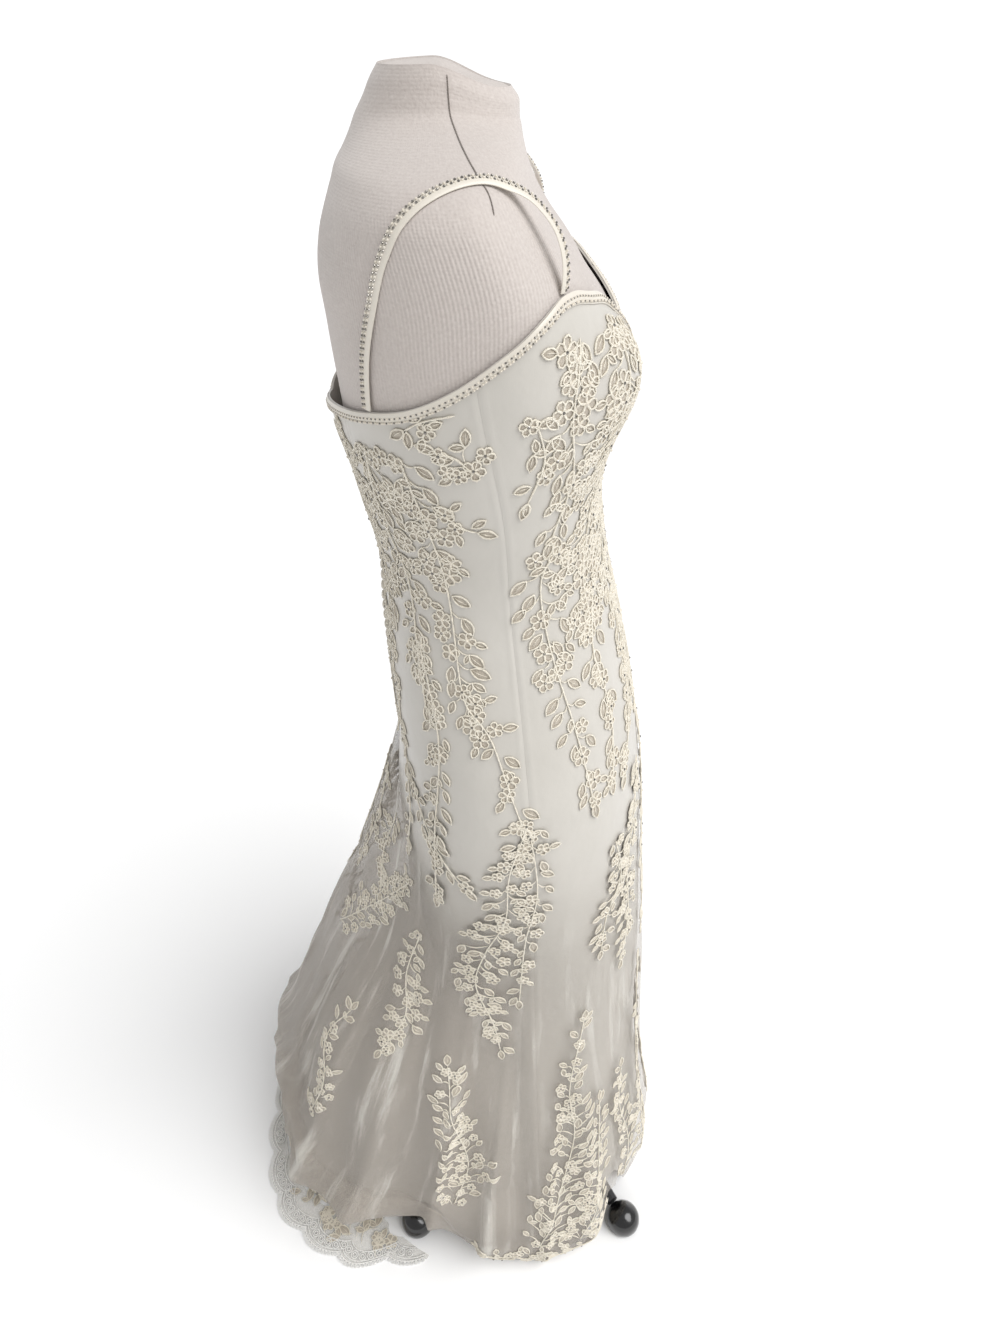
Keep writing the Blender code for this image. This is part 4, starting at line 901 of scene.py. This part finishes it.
def spray(points, seed, widths=(0.016, 0.026, 0.014), room=0.0110, flowers=0.45, size=0.0074, leaf=0.0155,
          side=1, skin=gownSkin, within=None):
    # one spray of lace: a stem, with flowers and leaves thrown either side of it within the widths, and short
    # branches out to them
    dice = np.random.default_rng(seed)
    angle, height, even = pathOf(points, skin)
    angle = angle * side
    length = even[-1]
    half = 0.5 * np.interp(even / length, np.linspace(0, 1, len(widths)), widths)
    turn = np.unwrap(headings(angle, height, skin))
    at = spread(dice, length, even, half, room)
    a, h, t = (np.interp(at[:, 0], even, values) for values in (angle, height, turn))
    u, v = np.cos(t) * at[:, 1], np.sin(t) * at[:, 1]
    a2 = a - u / sample(skin, "perDegree", a, h)
    h2 = h + v / sample(skin, "perMetre", a, h)
    leaves, petals, branches, beads = [], [], [], []
    for number in range(len(at)):
        place = (a2[number], h2[number])
        if within is not None and not within(*place):
            continue
        hand = 1 if at[number, 1] < 0 else -1
        if abs(at[number, 1]) > 0.007:
            back = min(0.7 * abs(at[number, 1]), at[number, 0])
            start = np.array([-at[number, 1], -back])
            bow = np.linspace(0, 1, 5)[:, None]
            line = start * (1 - bow) + np.array([hand * 0.0, 0.003]) * np.sin(np.pi * bow)
            branches.append((*place, placed(line, t[number])))
        if dice.random() < flowers:
            grow, first = size * dice.uniform(0.85, 1.2), dice.uniform(0, 2 * np.pi)
            petals += [(*place, first + petal * 2 * np.pi / 5, grow) for petal in range(5)]
            beads.append((*place, dice.random() < 0.5))
            if dice.random() < 0.4:
                out = t[number] + hand * dice.uniform(0.6, 1.6)
                leaves.append((*place, out, leaf * dice.uniform(0.7, 0.95), 0.8 * grow))
        else:
            out = t[number] + hand * dice.uniform(0.15, 1.1)
            leaves.append((*place, out, leaf * dice.uniform(0.8, 1.25), 0.0))
            if dice.random() < 0.3:
                leaves.append((*place, out - hand * dice.uniform(1.2, 1.8), leaf * dice.uniform(0.6, 0.85), 0.0))
    leaves.append((angle[-1], height[-1], turn[-1], leaf * 1.1, 0.0))
    return {"stem": (angle, height), "leaves": leaves, "petals": petals, "branches": branches, "beads": beads}


def layLace(name, sprays, skin, materials=(cord, filling), slot="lace", beads=None, rings=()):
    # turns sprays into one mesh of cords and fillings, and adds the flowers' middles to the list of beads
    parts, steps = [], (lace["leafSteps"], lace["petalSteps"])
    leaves = [leaf for each in sprays for leaf in each["leaves"]]
    petals = [petal for each in sprays for petal in each["petals"]]
    branches = [branch for each in sprays for branch in each["branches"]]
    loops = []
    if leaves:
        lines = [placed(leafLoop(length, length * 0.5, steps[0]) + (0, gap), turn) for _, _, turn, length, gap in leaves]
        veins = [placed(np.array([(0, gap + 0.1 * length), (0.03 * length, gap + 0.4 * length), (0, gap + 0.8 * length)]), turn)
                 for _, _, turn, length, gap in leaves]
        centres = np.array([leaf[:2] for leaf in leaves], float)
        loops.append((lines, centres))
        points, faces = cordMeshes(veins, centres, lace["veinRadius"], 4, lace["fillLift"] + lace["fillCrown"], skin, False)
        parts.append((points, [faces], 0))
    if petals:
        lines = [placed(petalLoop(size, size * 0.95, steps[1]), turn) for _, _, turn, size in petals]
        loops.append((lines, np.array([petal[:2] for petal in petals], float)))
    for lines, centres in loops:
        points, faces = cordMeshes(lines, centres, lace["cordRadius"], 4, lace["cordLift"], skin)
        parts.append((points, [faces], 0))
        points, fan = fillMeshes(lines, centres, lace["fillLift"], lace["fillCrown"], skin)
        parts.append((points, [fan], 1))
    for lines, centres in rings:
        points, faces = cordMeshes(lines, np.array(centres, float), lace["cordRadius"], 4, lace["cordLift"], skin)
        parts.append((points, [faces], 0))
    if branches:
        points, faces = cordMeshes([line for _, _, line in branches], np.array([branch[:2] for branch in branches], float),
                                   lace["veinRadius"] * 1.15, 4, lace["cordLift"] * 0.8, skin, False)
        parts.append((points, [faces], 0))
    for each in sprays:
        if each["stem"] is not None:
            points, sides = stemMesh(*each["stem"], lace["stemRadius"], lace["cordLift"], skin)
            parts.append((points, [sides], 0))
        if beads is not None:
            beads += each["beads"]
    piece = joined(name, parts, list(materials), slot)
    print(f"  {name}: {len(leaves)} leaves, {len(petals) // 5} flowers")
    return piece


wide = {"widths": (0.050, 0.056, 0.044), "room": 0.0135, "flowers": 0.5, "size": 0.0098, "leaf": 0.0165}
taper = {"widths": (0.040, 0.030, 0.010), "room": 0.0125, "size": 0.0090, "leaf": 0.0165}
slim = {"widths": (0.014, 0.020, 0.008), "room": 0.0120, "flowers": 0.3, "size": 0.0082, "leaf": 0.0150}
full = {"widths": (0.030, 0.044, 0.016), "room": 0.0128, "flowers": 0.5, "size": 0.0070, "leaf": 0.0140}
tree = {"widths": (0.070, 0.060, 0.022, 0.010), "room": 0.0132, "flowers": 0.42, "size": 0.0070, "leaf": 0.0150}
# control points (angle, height), seed and kind for the wearer's right; the left is the same, mirrored
sideSprays = {
    "bodiceFrontLace": [
        ([(11, 1.168), (13, 1.10), (11, 1.03), (13, 0.96)], 1, wide),
        ([(30, 1.205), (31, 1.13), (29, 1.06), (32, 0.98)], 2, wide),
        ([(50, 1.232), (51, 1.16), (48, 1.09), (53, 1.02), (51, 0.97)], 3, wide),
        ([(66, 1.236), (69, 1.18), (66, 1.12), (71, 1.07)], 4, {**wide, "widths": (0.030, 0.036, 0.020)}),
        ([(79, 1.190), (76, 1.15), (80, 1.115)], 5, slim),
        ([(68, 1.06), (74, 1.03), (72, 0.970), (66, 0.88), (62, 0.79)], 6, taper),
        ([(46, 1.00), (52, 0.94), (48, 0.87), (52, 0.80)], 7, {**taper, "widths": (0.026, 0.016, 0.008)}),
        ([(34, 1.009), (27, 0.95), (25, 0.90), (33, 0.84), (44, 0.79)], 8, {**taper, "widths": (0.030, 0.030, 0.010)}),
        ([(12, 0.97), (16, 0.90), (12, 0.83), (17, 0.77)], 9, taper),
    ],
    "bodiceBackLace": [
        ([(98, 1.196), (106, 1.190), (112, 1.180)], 10, {**slim, "flowers": 0.2}),
        ([(94.5, 1.146), (99, 1.160), (104, 1.165)], 11, {"widths": (0.040, 0.034, 0.014), "room": 0.0105, "flowers": 0.7, "size": 0.0080}),
        ([(115.5, 1.152), (109, 1.057), (106, 0.974), (102.5, 0.918), (94, 0.883), (88, 0.82), (85.5, 0.79)], 12,
         {**taper, "widths": (0.028, 0.026, 0.022, 0.010)}),
        ([(108, 1.115), (100, 1.095), (95, 1.09)], 13, slim),
        ([(130, 1.155), (132, 1.09), (126, 1.03), (124, 0.97), (118, 0.90)], 14, {**taper, "widths": (0.046, 0.044, 0.030, 0.010)}),
        ([(150, 1.155), (152, 1.09), (147, 1.02), (149, 0.95), (142, 0.88)], 15, {**taper, "widths": (0.050, 0.050, 0.030, 0.010)}),
        ([(166, 1.145), (166, 1.08), (163, 1.01), (165, 0.94), (162, 0.86), (166, 0.80)], 16, {**taper, "widths": (0.034, 0.034, 0.026, 0.010)}),
        ([(122, 0.964), (112, 0.870), (114, 0.76), (115.5, 0.665)], 17, slim),
        ([(142, 0.90), (138, 0.83), (130, 0.76), (134, 0.69)], 18, slim),
    ],
    "skirtSideLace": [
        ([(84, 0.795), (90, 0.73), (92, 0.66), (99, 0.60), (103, 0.54), (98, 0.47), (96, 0.419)], 20,
         {**full, "widths": (0.012, 0.022, 0.040, 0.050, 0.044, 0.026, 0.010)}),
        ([(83.5, 0.786), (82, 0.70), (86, 0.62), (88.5, 0.513)], 21, {**full, "widths": (0.024, 0.026, 0.018, 0.008)}),
        ([(126, 0.79), (114, 0.74), (103.5, 0.702)], 22, slim),
        ([(167.5, 0.491), (158, 0.54), (147, 0.585), (134, 0.634)], 23, {**full, "widths": (0.030, 0.050, 0.044, 0.016)}),
        ([(125, 0.583), (130, 0.52), (128, 0.46), (132.5, 0.409)], 24, {**full, "widths": (0.014, 0.030, 0.034, 0.012)}),
        ([(149.5, 0.248), (146, 0.32), (150, 0.38), (146, 0.429)], 25, {**full, "widths": (0.026, 0.022, 0.014, 0.006)}),
        ([(110.5, 0.153), (107, 0.22), (110, 0.29), (112.5, 0.4075)], 26, {**tree, "widths": (0.050, 0.060, 0.040, 0.012)}),
        ([(150, 0.70), (156, 0.64), (152, 0.58)], 27, slim),
        ([(172, 0.72), (168, 0.65), (172, 0.58)], 28, slim),
    ],
    "skirtFrontLace": [
        ([(86, 0.060), (79, 0.14), (72, 0.24), (72, 0.33), (65, 0.442)], 30, {**tree, "widths": (0.080, 0.060, 0.050, 0.022, 0.008)}),
        ([(74, 0.050), (66.5, 0.111), (63, 0.19), (60, 0.269)], 31, {**tree, "widths": (0.060, 0.050, 0.030, 0.010)}),
        ([(52.5, 0.720), (49, 0.66), (56, 0.61), (58, 0.555)], 32, {**full, "widths": (0.018, 0.030, 0.024, 0.008)}),
        ([(30, 0.78), (38, 0.72), (44, 0.66), (42, 0.58), (46, 0.50)], 33, {**full, "widths": (0.020, 0.030, 0.034, 0.026, 0.008)}),
        ([(20, 0.72), (24, 0.64), (18, 0.56), (22, 0.48)], 34, slim),
        ([(4, 0.80), (8, 0.72), (3, 0.64)], 35, slim),
        ([(30, 0.04), (34, 0.14), (28, 0.25), (33, 0.36), (30, 0.44)], 36, {**tree, "widths": (0.060, 0.044, 0.030, 0.018, 0.008)}),
        ([(50, 0.05), (46, 0.13), (49, 0.21), (46, 0.28)], 37, {**tree, "widths": (0.050, 0.036, 0.022, 0.008)}),
        ([(6, 0.04), (9, 0.14), (4, 0.24), (8, 0.34)], 38, {**tree, "widths": (0.050, 0.040, 0.022, 0.008)}),
        ([(60, 0.050), (75, 0.028), (90, 0.030), (104, 0.060)], 39, {**full, "widths": (0.030, 0.036, 0.036, 0.024)}),
    ],
}


def makeSprays():
    beads = []
    for word, side in (("Right", 1), ("Left", -1)):
        for group, rows in sideSprays.items():
            layLace(group + word, [spray(points, seed + (50 if side < 0 else 0), side=side, **kind) for points, seed, kind in rows],
                    gownSkin, beads=beads)
    return beads


makeFormSeams()
flowerBeads = makeSprays()


def scatterBeads(name, spots, radius, skin, material, lift, slot="beaded_trim"):
    # one faceted stone for each (angle, height) spot
    centres = np.array([spot[:2] for spot in spots], float)
    shape, faceSets = beadShape(radius)
    points = laid(*(np.broadcast_to(shape[:, axis], (len(centres), len(shape))) for axis in (0, 1)),
                  lift + np.broadcast_to(shape[:, 2], (len(centres), len(shape))), centres[:, None, :], skin)
    piece = meshFrom(name, points, repeated(faceSets, len(shape), len(centres)), [material], smoothShade=False)
    return onRoot(piece, slot)


scatterBeads("flowerStones", [bead for bead in flowerBeads if bead[2]], 0.0015, gownSkin, crystal, 0.0010)
scatterBeads("flowerPearls", [bead for bead in flowerBeads if not bead[2]], 0.0016, gownSkin, pearl, 0.0010)
print("lace sprays laid:", len(flowerBeads), "flowers")


# ---- lace of the train, under the net's rolled edge ----

def trainOutside(angle, height):
    # the net where it comes back to the satin below the roll
    point = satinOutside(angle, height)
    out = netSkirt["gap"] + netSkirt["wall"] + netStyle["lowOff"] * ease(height, 0.0, 0.11)
    point[..., :2] *= 1 + (out / np.hypot(point[..., 0], point[..., 1]))[..., None]
    return point


trainSkin = makeSkin(trainOutside, 0.0, 0.12)
trainBeads = []
layLace("trainLace", [spray([(120, 0.040), (140, 0.042), (160, 0.042), (180, 0.042), (200, 0.042), (220, 0.042), (240, 0.040)], 60,
                            widths=(0.060, 0.070, 0.070, 0.060), room=0.0150, flowers=0.5, size=0.0088, leaf=0.017, skin=trainSkin)],
        trainSkin, beads=trainBeads)
scatterBeads("trainPearls", trainBeads, 0.0016, trainSkin, pearl, 0.0010)
print("train lace laid")


# ---- neckline binding, straps, placket and buttons ----

bandStyle = {"width": 0.0085, "wall": 0.0018, "beadPitch": 0.0026, "beadRadius": 0.00105, "openBack": 4.8}
strap = {
    "angle": [68.5, 69.0, 69.5, 70.0, 71.5, 74.5, 80.0, 87.5, 95.5, 102.0, 107.0, 112.5, 117.5, 121.0, 123.3, 124.8],
    "height": [1.2672, 1.2825, 1.2963, 1.3090, 1.3227, 1.3326, 1.3400, 1.3400, 1.3350, 1.3252, 1.3110, 1.2923, 1.2654,
               1.2359, 1.2110, 1.1885],
    "off": [0.0010, 0.0115, 0.0145, 0.0132, 0.0095, 0.0030] + [0.0007] * 9 + [0.0010],
    "width": 0.0095, "wall": 0.0016, "steps": 150,
}


def makeBinding():
    # the band follows the neckline: rows across it form a low rounded section
    end = 180 - bandStyle["openBack"]
    angle = np.linspace(-end, end, 421)[None, :]
    rows = np.linspace(0, 1, 7)[:, None]
    angle, across = np.broadcast_arrays(angle, rows)
    height = neckHeight(angle) - bandStyle["width"] * across
    under = 0.0003
    crown = bandStyle["wall"] * (0.35 + 0.65 * np.sin(np.pi * across) ** 0.6)
    outer = onSkin(satinSkin, angle, height, under + crown)
    inner = onSkin(satinSkin, angle, height, under)
    outer, inner = outer[:, ::-1], inner[:, ::-1]
    band = meshFrom("necklineBinding", np.concatenate([outer.reshape(-1, 3), inner.reshape(-1, 3)]),
                    [wallFaces(*outer.shape[:2])], [piping])
    onRoot(band, "beaded_trim", "neckline_trim")
    declareCloth(band)
    length = np.concatenate([[0], np.cumsum(np.linalg.norm(np.diff(outer[3], axis=0), axis=1))])
    count = int(length[-1] / bandStyle["beadPitch"])
    even = np.interp(np.linspace(0.002, length[-1] - 0.002, count), length, angle[0][::-1])
    lower = even[:-1] + 0.5 * np.diff(even)
    return [[(a, float(neckHeight(a)) - bandStyle["width"] * share) for a in row] for share, row in ((0.45, even), (0.84, lower))]


def makeStrap(word, side):
    # a band along a path, its section low and rounded
    share = np.linspace(0, 1, strap["steps"] + 1)
    rows = np.linspace(0, 1, len(strap["angle"]))
    angle, height, off = (np.interp(share, rows, strap[column]) for column in ("angle", "height", "off"))
    for values in (angle, height, off):
        for _ in range(40):
            values[1:-1] = (values[:-2] + 2 * values[1:-1] + values[2:]) / 4
    centre = movedOut(formPoint, angle, height, off)
    normal = unit(movedOut(formPoint, angle, height, off + 0.01) - centre)
    flip = np.array([side, 1.0, 1.0])
    centre, normal = centre * flip, normal * flip
    along = unit(np.gradient(centre, axis=0))
    across = unit(np.cross(normal, along))
    up = np.cross(along, across)
    place = np.linspace(-1, 1, 9)[None, :, None]
    crown = strap["wall"] * (0.35 + 0.65 * np.cos(0.5 * np.pi * place) ** 0.5)
    outer = centre[:, None] + across[:, None] * place * 0.5 * strap["width"] + up[:, None] * crown
    inner = centre[:, None] + across[:, None] * place * 0.5 * strap["width"]
    # rows down and columns left to right only if along points down as seen from outside, so the path is turned to suit
    band = meshFrom("strap" + word, np.concatenate([outer.reshape(-1, 3), inner.reshape(-1, 3)]),
                    [wallFaces(*outer.shape[:2])], [piping])
    onRoot(band, "beaded_trim", "strap_" + word.lower())
    declareCloth(band)
    length = np.concatenate([[0], np.cumsum(np.linalg.norm(np.diff(centre, axis=0), axis=1))])
    count = int(length[-1] / bandStyle["beadPitch"])
    at = np.linspace(0.002, length[-1] - 0.002, count)
    rowsOfBeads = []
    for lane, later in ((0.05, 0.0), (0.62, 0.5)):
        lanePath = centre + across * lane * side * -0.5 * strap["width"] + up * strap["wall"] * 0.85
        spots = np.stack([np.interp(at + later * bandStyle["beadPitch"], length, lanePath[:, axis]) for axis in range(3)], -1)
        facing = np.stack([np.interp(at + later * bandStyle["beadPitch"], length, up[:, axis]) for axis in range(3)], -1)
        rowsOfBeads.append((spots, unit(facing)))
    return rowsOfBeads


def freeBeads(name, spots, facing, radius, material):
    # stones set on given points, facing along given directions
    aside = unit(np.cross(facing, np.where(np.abs(facing[:, 2:]) > 0.9, (1.0, 0, 0), (0, 0, 1.0))))
    above = np.cross(facing, aside)
    shape, faceSets = beadShape(radius)
    points = (spots[:, None] + shape[None, :, :1] * aside[:, None] + shape[None, :, 1:2] * above[:, None]
              + shape[None, :, 2:] * facing[:, None])
    piece = meshFrom(name, points, repeated(faceSets, len(shape), len(spots)), [material], smoothShade=False)
    return onRoot(piece, "beaded_trim")


lanes = makeBinding()
scatterBeads("bindingStones", lanes[0][::2] + lanes[1][::3], 0.85 * bandStyle["beadRadius"], satinSkin, crystal, 0.0018)
scatterBeads("bindingPearls", lanes[0][1::2] + lanes[1][1::3] + lanes[1][2::3], bandStyle["beadRadius"], satinSkin, pearl, 0.0018)
strapSpots = [lane for word, side in (("Right", 1), ("Left", -1)) for lane in makeStrap(word, side)]
for name, first, material in (("strapStones", 0, crystal), ("strapPearls", 1, pearl)):
    freeBeads(name, np.concatenate([spots[first::2] for spots, _ in strapSpots]),
              np.concatenate([facing[first::2] for _, facing in strapSpots]), bandStyle["beadRadius"], material)
print("binding and straps made")

placket = {"width": 0.019, "wall": 0.0012, "gap": 0.0006, "bottom": 0.790, "reach": 0.125, "drop": 0.0006,
           "buttons": 27, "pitch": 0.0119, "top": 1.110}


def makePlacket():
    half = math.degrees(0.5 * placket["width"] / placket["reach"])
    level = np.linspace(float(neckHeight(180.0)) - placket["drop"], placket["bottom"], 121)[:, None]
    across = np.linspace(1, -1, 13)[None, :]
    angle, level = np.broadcast_arrays(180 + half * across, level)
    crown = placket["wall"] * (0.55 + 0.45 * np.cos(0.5 * np.pi * across) ** 0.4) + 0 * level
    outer = onSkin(satinSkin, angle, level, placket["gap"] + crown)
    inner = onSkin(satinSkin, angle, level, placket["gap"])
    strip = meshFrom("buttonPlacket", np.concatenate([outer.reshape(-1, 3), inner.reshape(-1, 3)]),
                     [wallFaces(*outer.shape[:2])], [satin])
    onRoot(strip, "satin", "button_placket")
    declareCloth(strip)


def makeButtons():
    # covered buttons: a dome of radius and rise turned about the cloth's normal, with a loop of cord beside each
    profile = np.array([(0.0044, 0.0), (0.0051, 0.0006), (0.0052, 0.0014), (0.0048, 0.0024), (0.0038, 0.0032),
                        (0.0022, 0.0037), (0.0001, 0.0039)])
    seat = placket["gap"] + placket["wall"] + 0.0003
    heights = placket["top"] - np.arange(placket["buttons"]) * placket["pitch"]
    turn = np.arange(16) * 2 * np.pi / 16
    parts = []
    for height in heights:
        u = profile[:, :1] * np.cos(turn)[None, :]
        v = profile[:, :1] * np.sin(turn)[None, :]
        centre = np.array([180.0, height])
        points = laid(u, v, seat + profile[:, 1:] + 0 * u, centre[None, None, :], satinSkin)
        parts.append((points.reshape(-1, 3), [tubeFaces(len(profile), 16, False), *endFaces(len(profile), 16)], 0))
    buttons = joined("coveredButtons", parts, [buttonSatin], "covered_button")
    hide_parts(*[f"button_{number:02d}" for number in range(1, placket["buttons"] + 1)])
    places = np.stack([np.full(len(heights), 180.0), heights], -1)
    outline = placed(petalLoop(0.0105, 0.0085, 12), -0.5 * math.pi, (-0.0048, 0.0))
    points, faces = cordMeshes([outline] * len(heights), places, 0.0005, 5, seat + 0.0006, satinSkin)
    loops = joined("buttonLoops", [(points, [faces], 0)], [cord], "covered_button")
    return buttons, loops


makePlacket()
makeButtons()
print("placket and buttons made")


# ---- lace border on the floor ----

border = {
    "angle": [119, 124, 129, 134, 141, 147, 155, 164, 180],
    "reach": [0.296, 0.310, 0.330, 0.357, 0.377, 0.391, 0.404, 0.401, 0.392],
    "from": 119.0, "to": 241.0, "pastFoot": 0.2850, "pastDegrees": (9.0, 14.0), "scallops": 13, "depth": 0.012,
    "gap": 0.0016, "narrowest": 0.006, "wall": 0.0007,
}


def borderEdges(angle):
    # inner and outer reach of the border at each angle
    share = (angle - border["from"]) / (border["to"] - border["from"])
    foot = netInside(angle, hemLift(angle), fine=False)
    nearest = np.min([np.abs(apart(angle, leg)) for leg in stand["legAngles"]], axis=0)
    past = border["pastFoot"] * (1 - ease(nearest, *border["pastDegrees"]))
    inner = np.maximum(np.hypot(foot[..., 0], foot[..., 1]) + 0.001 + border["gap"], past)
    notch = border["depth"] * (1 - np.abs(np.sin(np.pi * border["scallops"] * share)) ** 0.7)
    outer = np.maximum(smooth(border, "reach", folded(angle), "angle") - notch, inner + border["narrowest"])
    return inner, outer


def floorPoint(angle, reach, height):
    turn = np.radians(angle)
    return np.stack([-reach * np.sin(turn), -reach * np.cos(turn), height + 0 * reach], -1)


def borderLift(angle, share):
    # soft ripples of the lace where it doesn't quite lie flat
    return 0.0012 + 0.0016 * share * (0.5 + 0.5 * np.sin(np.radians(angle * 11.0)))


def makeBorder():
    angle = np.linspace(border["from"], border["to"], 521)[None, :]
    rows = np.linspace(0, 1, 15)[:, None]
    inner, outer = borderEdges(angle)
    angle, rows = np.broadcast_arrays(angle, rows)
    reach = inner + (outer - inner) * rows
    top = floorPoint(angle, reach, borderLift(angle, rows))
    under = floorPoint(angle, reach, borderLift(angle, rows) - border["wall"])
    top, under = top[:, ::-1], under[:, ::-1]
    sheet = meshFrom("borderNet", np.concatenate([top.reshape(-1, 3), under.reshape(-1, 3)]),
                     [wallFaces(*top.shape[:2])], [borderNet], layer=np.ones(2 * top.shape[0] * top.shape[1]))
    onRoot(sheet, "lace", "lace_border")
    declareCloth(sheet)
    return sheet


def ringSpots(inside, pitch, low, high):
    # even steps along the border at a distance inside its outer edge, with the edge's slant at each
    angle = np.linspace(low, high, 1600)
    reach = borderEdges(angle)[1] - inside
    way = floorPoint(angle, reach, 0.0)
    length = np.concatenate([[0], np.cumsum(np.linalg.norm(np.diff(way, axis=0), axis=1))])
    even = np.arange(0.5 * pitch, length[-1], pitch)
    slant = np.arctan2(np.gradient(reach), np.gradient(length))
    return [np.interp(even, length, values) for values in (angle, reach, slant)]


def makeBorderLace():
    # corded edge, picots, a chain of rings, an inner cord, and sprays on what ground is left
    skin = makeSkin(lambda angle, height: floorPoint(angle, -height, borderLift(angle, 0.7)), -0.44, -0.20)
    low, high = border["from"] + 0.6, border["to"] - 0.6
    angle = np.linspace(low, high, 620)
    inner, outer = borderEdges(angle)
    stems = [{"stem": (angle, -(outer - inside)), "leaves": [], "petals": [], "branches": [], "beads": []}
             for inside in (0.0012, 0.0056)]
    deep = outer - 0.0215 > inner + 0.001
    stems.append({**stems[0], "stem": (angle[deep], -(outer - 0.0215)[deep])})
    rings = []
    for shape, inside, pitch in ((placed(petalLoop(0.0046, 0.0042, 8), math.pi), 0.0004, 0.0052),
                                 (ringLoop(0.0050, 12), 0.0135, 0.0118), (ringLoop(0.0026, 8), 0.0135, 0.0118)):
        at, reach, slant = ringSpots(inside, pitch, low, high)
        room = reach > borderEdges(at)[0] + 0.006
        rings.append(([placed(shape, turn) for turn in slant[room]], np.stack([at, -reach], -1)[room]))

    def onGround(angle, height):
        inner, outer = borderEdges(np.array(angle))
        return inner + 0.004 < -height < outer - 0.026

    ground = []
    for seed, reach in ((70, 0.300), (71, 0.330), (72, 0.362)):
        ground.append({**spray([(low, -reach), (150, -reach), (180, -reach), (210, -reach), (high, -reach)], seed, widths=(0.034, 0.034),
                              room=0.0125, flowers=0.4, size=0.0085, leaf=0.018, skin=skin, within=onGround), "stem": None})
        ground[-1]["leaves"] = [leaf for leaf in ground[-1]["leaves"] if onGround(leaf[0], leaf[1])]
    layLace("borderSprays", ground, skin)
    return layLace("borderLace", stems, skin, (whiteCord, whiteFilling), rings=rings)


makeBorder()
makeBorderLace()
print("lace border made")


# ---- floor, light and camera ----

def plainMaterial(name, colour, roughness):
    material, tree, shader = newMaterial(name, colour, roughness)
    place = addNode(tree, "ShaderNodeTexCoord").outputs["Object"]
    clouded(tree, shader, colour, colour, 1.0, place)
    return material


floorMesh = bpy.data.meshes.new("paleFloor")
floorMesh.from_pydata([(-12, -12, 0), (12, -12, 0), (12, 12, 0), (-12, 12, 0)], [], [(0, 1, 2, 3)])
floorMesh.materials.append(plainMaterial("white studio floor", "#F7F7F7", 0.9))
floor = bpy.data.objects.new("paleFloor", floorMesh)
bpy.context.scene.collection.objects.link(floor)

world = bpy.data.worlds.new("studio")
bpy.context.scene.world = world
world.use_nodes = True
sky = world.node_tree
sky.nodes["Background"].inputs["Color"].default_value = linear("#FFFFFF")
# dim all round, and bright low down behind the gown, as a lit backdrop is
way = addNode(sky, "ShaderNodeSeparateXYZ", links={0: addNode(sky, "ShaderNodeTexCoord").outputs["Generated"]})
behind = addNode(sky, "ShaderNodeMapRange", {1: 0.30, 2: 0.75, 3: 0.0, 4: 0.52}, {0: way.outputs["X"]})
below = addNode(sky, "ShaderNodeMapRange", {1: 0.25, 2: 0.60, 3: 1.0, 4: 0.0}, {0: way.outputs["Z"]})
glow = addNode(sky, "ShaderNodeMath", links={0: behind.outputs[0], 1: below.outputs[0]}, operation="MULTIPLY")
dim = addNode(sky, "ShaderNodeMath", {1: 0.54}, {0: glow.outputs[0]}, operation="ADD")
sky.links.new(dim.outputs[0], sky.nodes["Background"].inputs["Strength"])


def faced(obj, place, aim):
    # turns a lamp's own -Z towards what it lights
    back = unit(np.array(place, float) - np.array(aim, float))
    right = unit(np.cross((0, 0, 1.0), back))
    up = np.cross(back, right)
    obj.matrix_world = Matrix([(right[i], up[i], back[i], place[i]) for i in range(3)] + [(0, 0, 0, 1)])


key = bpy.data.lights.new("key", "SUN")
key.energy, key.angle = 2.7, math.radians(50)
keyLamp = bpy.data.objects.new("key", key)
bpy.context.scene.collection.objects.link(keyLamp)
faced(keyLamp, (-1.3, -2.3, 3.1), (0.0, 0.0, 0.0))
# the camera stands at the wearer's right and looks down a little; worked out from the photograph's own perspective
shot = {"place": (-0.81, poleY, 1.442), "down": 36.4, "roll": -2.6, "lens": 24.95}
camera = bpy.data.cameras.new("camera")
camera.lens, camera.sensor_width, camera.sensor_fit = shot["lens"], 36.0, "AUTO"
camera.clip_start = 0.05
viewer = bpy.data.objects.new("camera", camera)
bpy.context.scene.collection.objects.link(viewer)
tilt, roll = math.radians(shot["down"]), math.radians(shot["roll"])
ahead = np.array([math.cos(tilt), 0.0, -math.sin(tilt)])
up = np.array([math.sin(tilt), 0.0, math.cos(tilt)])
right = np.array([0.0, -1.0, 0.0])
right, up = right * math.cos(roll) + up * math.sin(roll), -right * math.sin(roll) + up * math.cos(roll)
viewer.matrix_world = Matrix([(right[i], up[i], -ahead[i], shot["place"][i]) for i in range(3)] + [(0, 0, 0, 1)])
bpy.context.scene.camera = viewer
bpy.context.scene.view_settings.view_transform = "Standard"
print("floor, light and camera set")
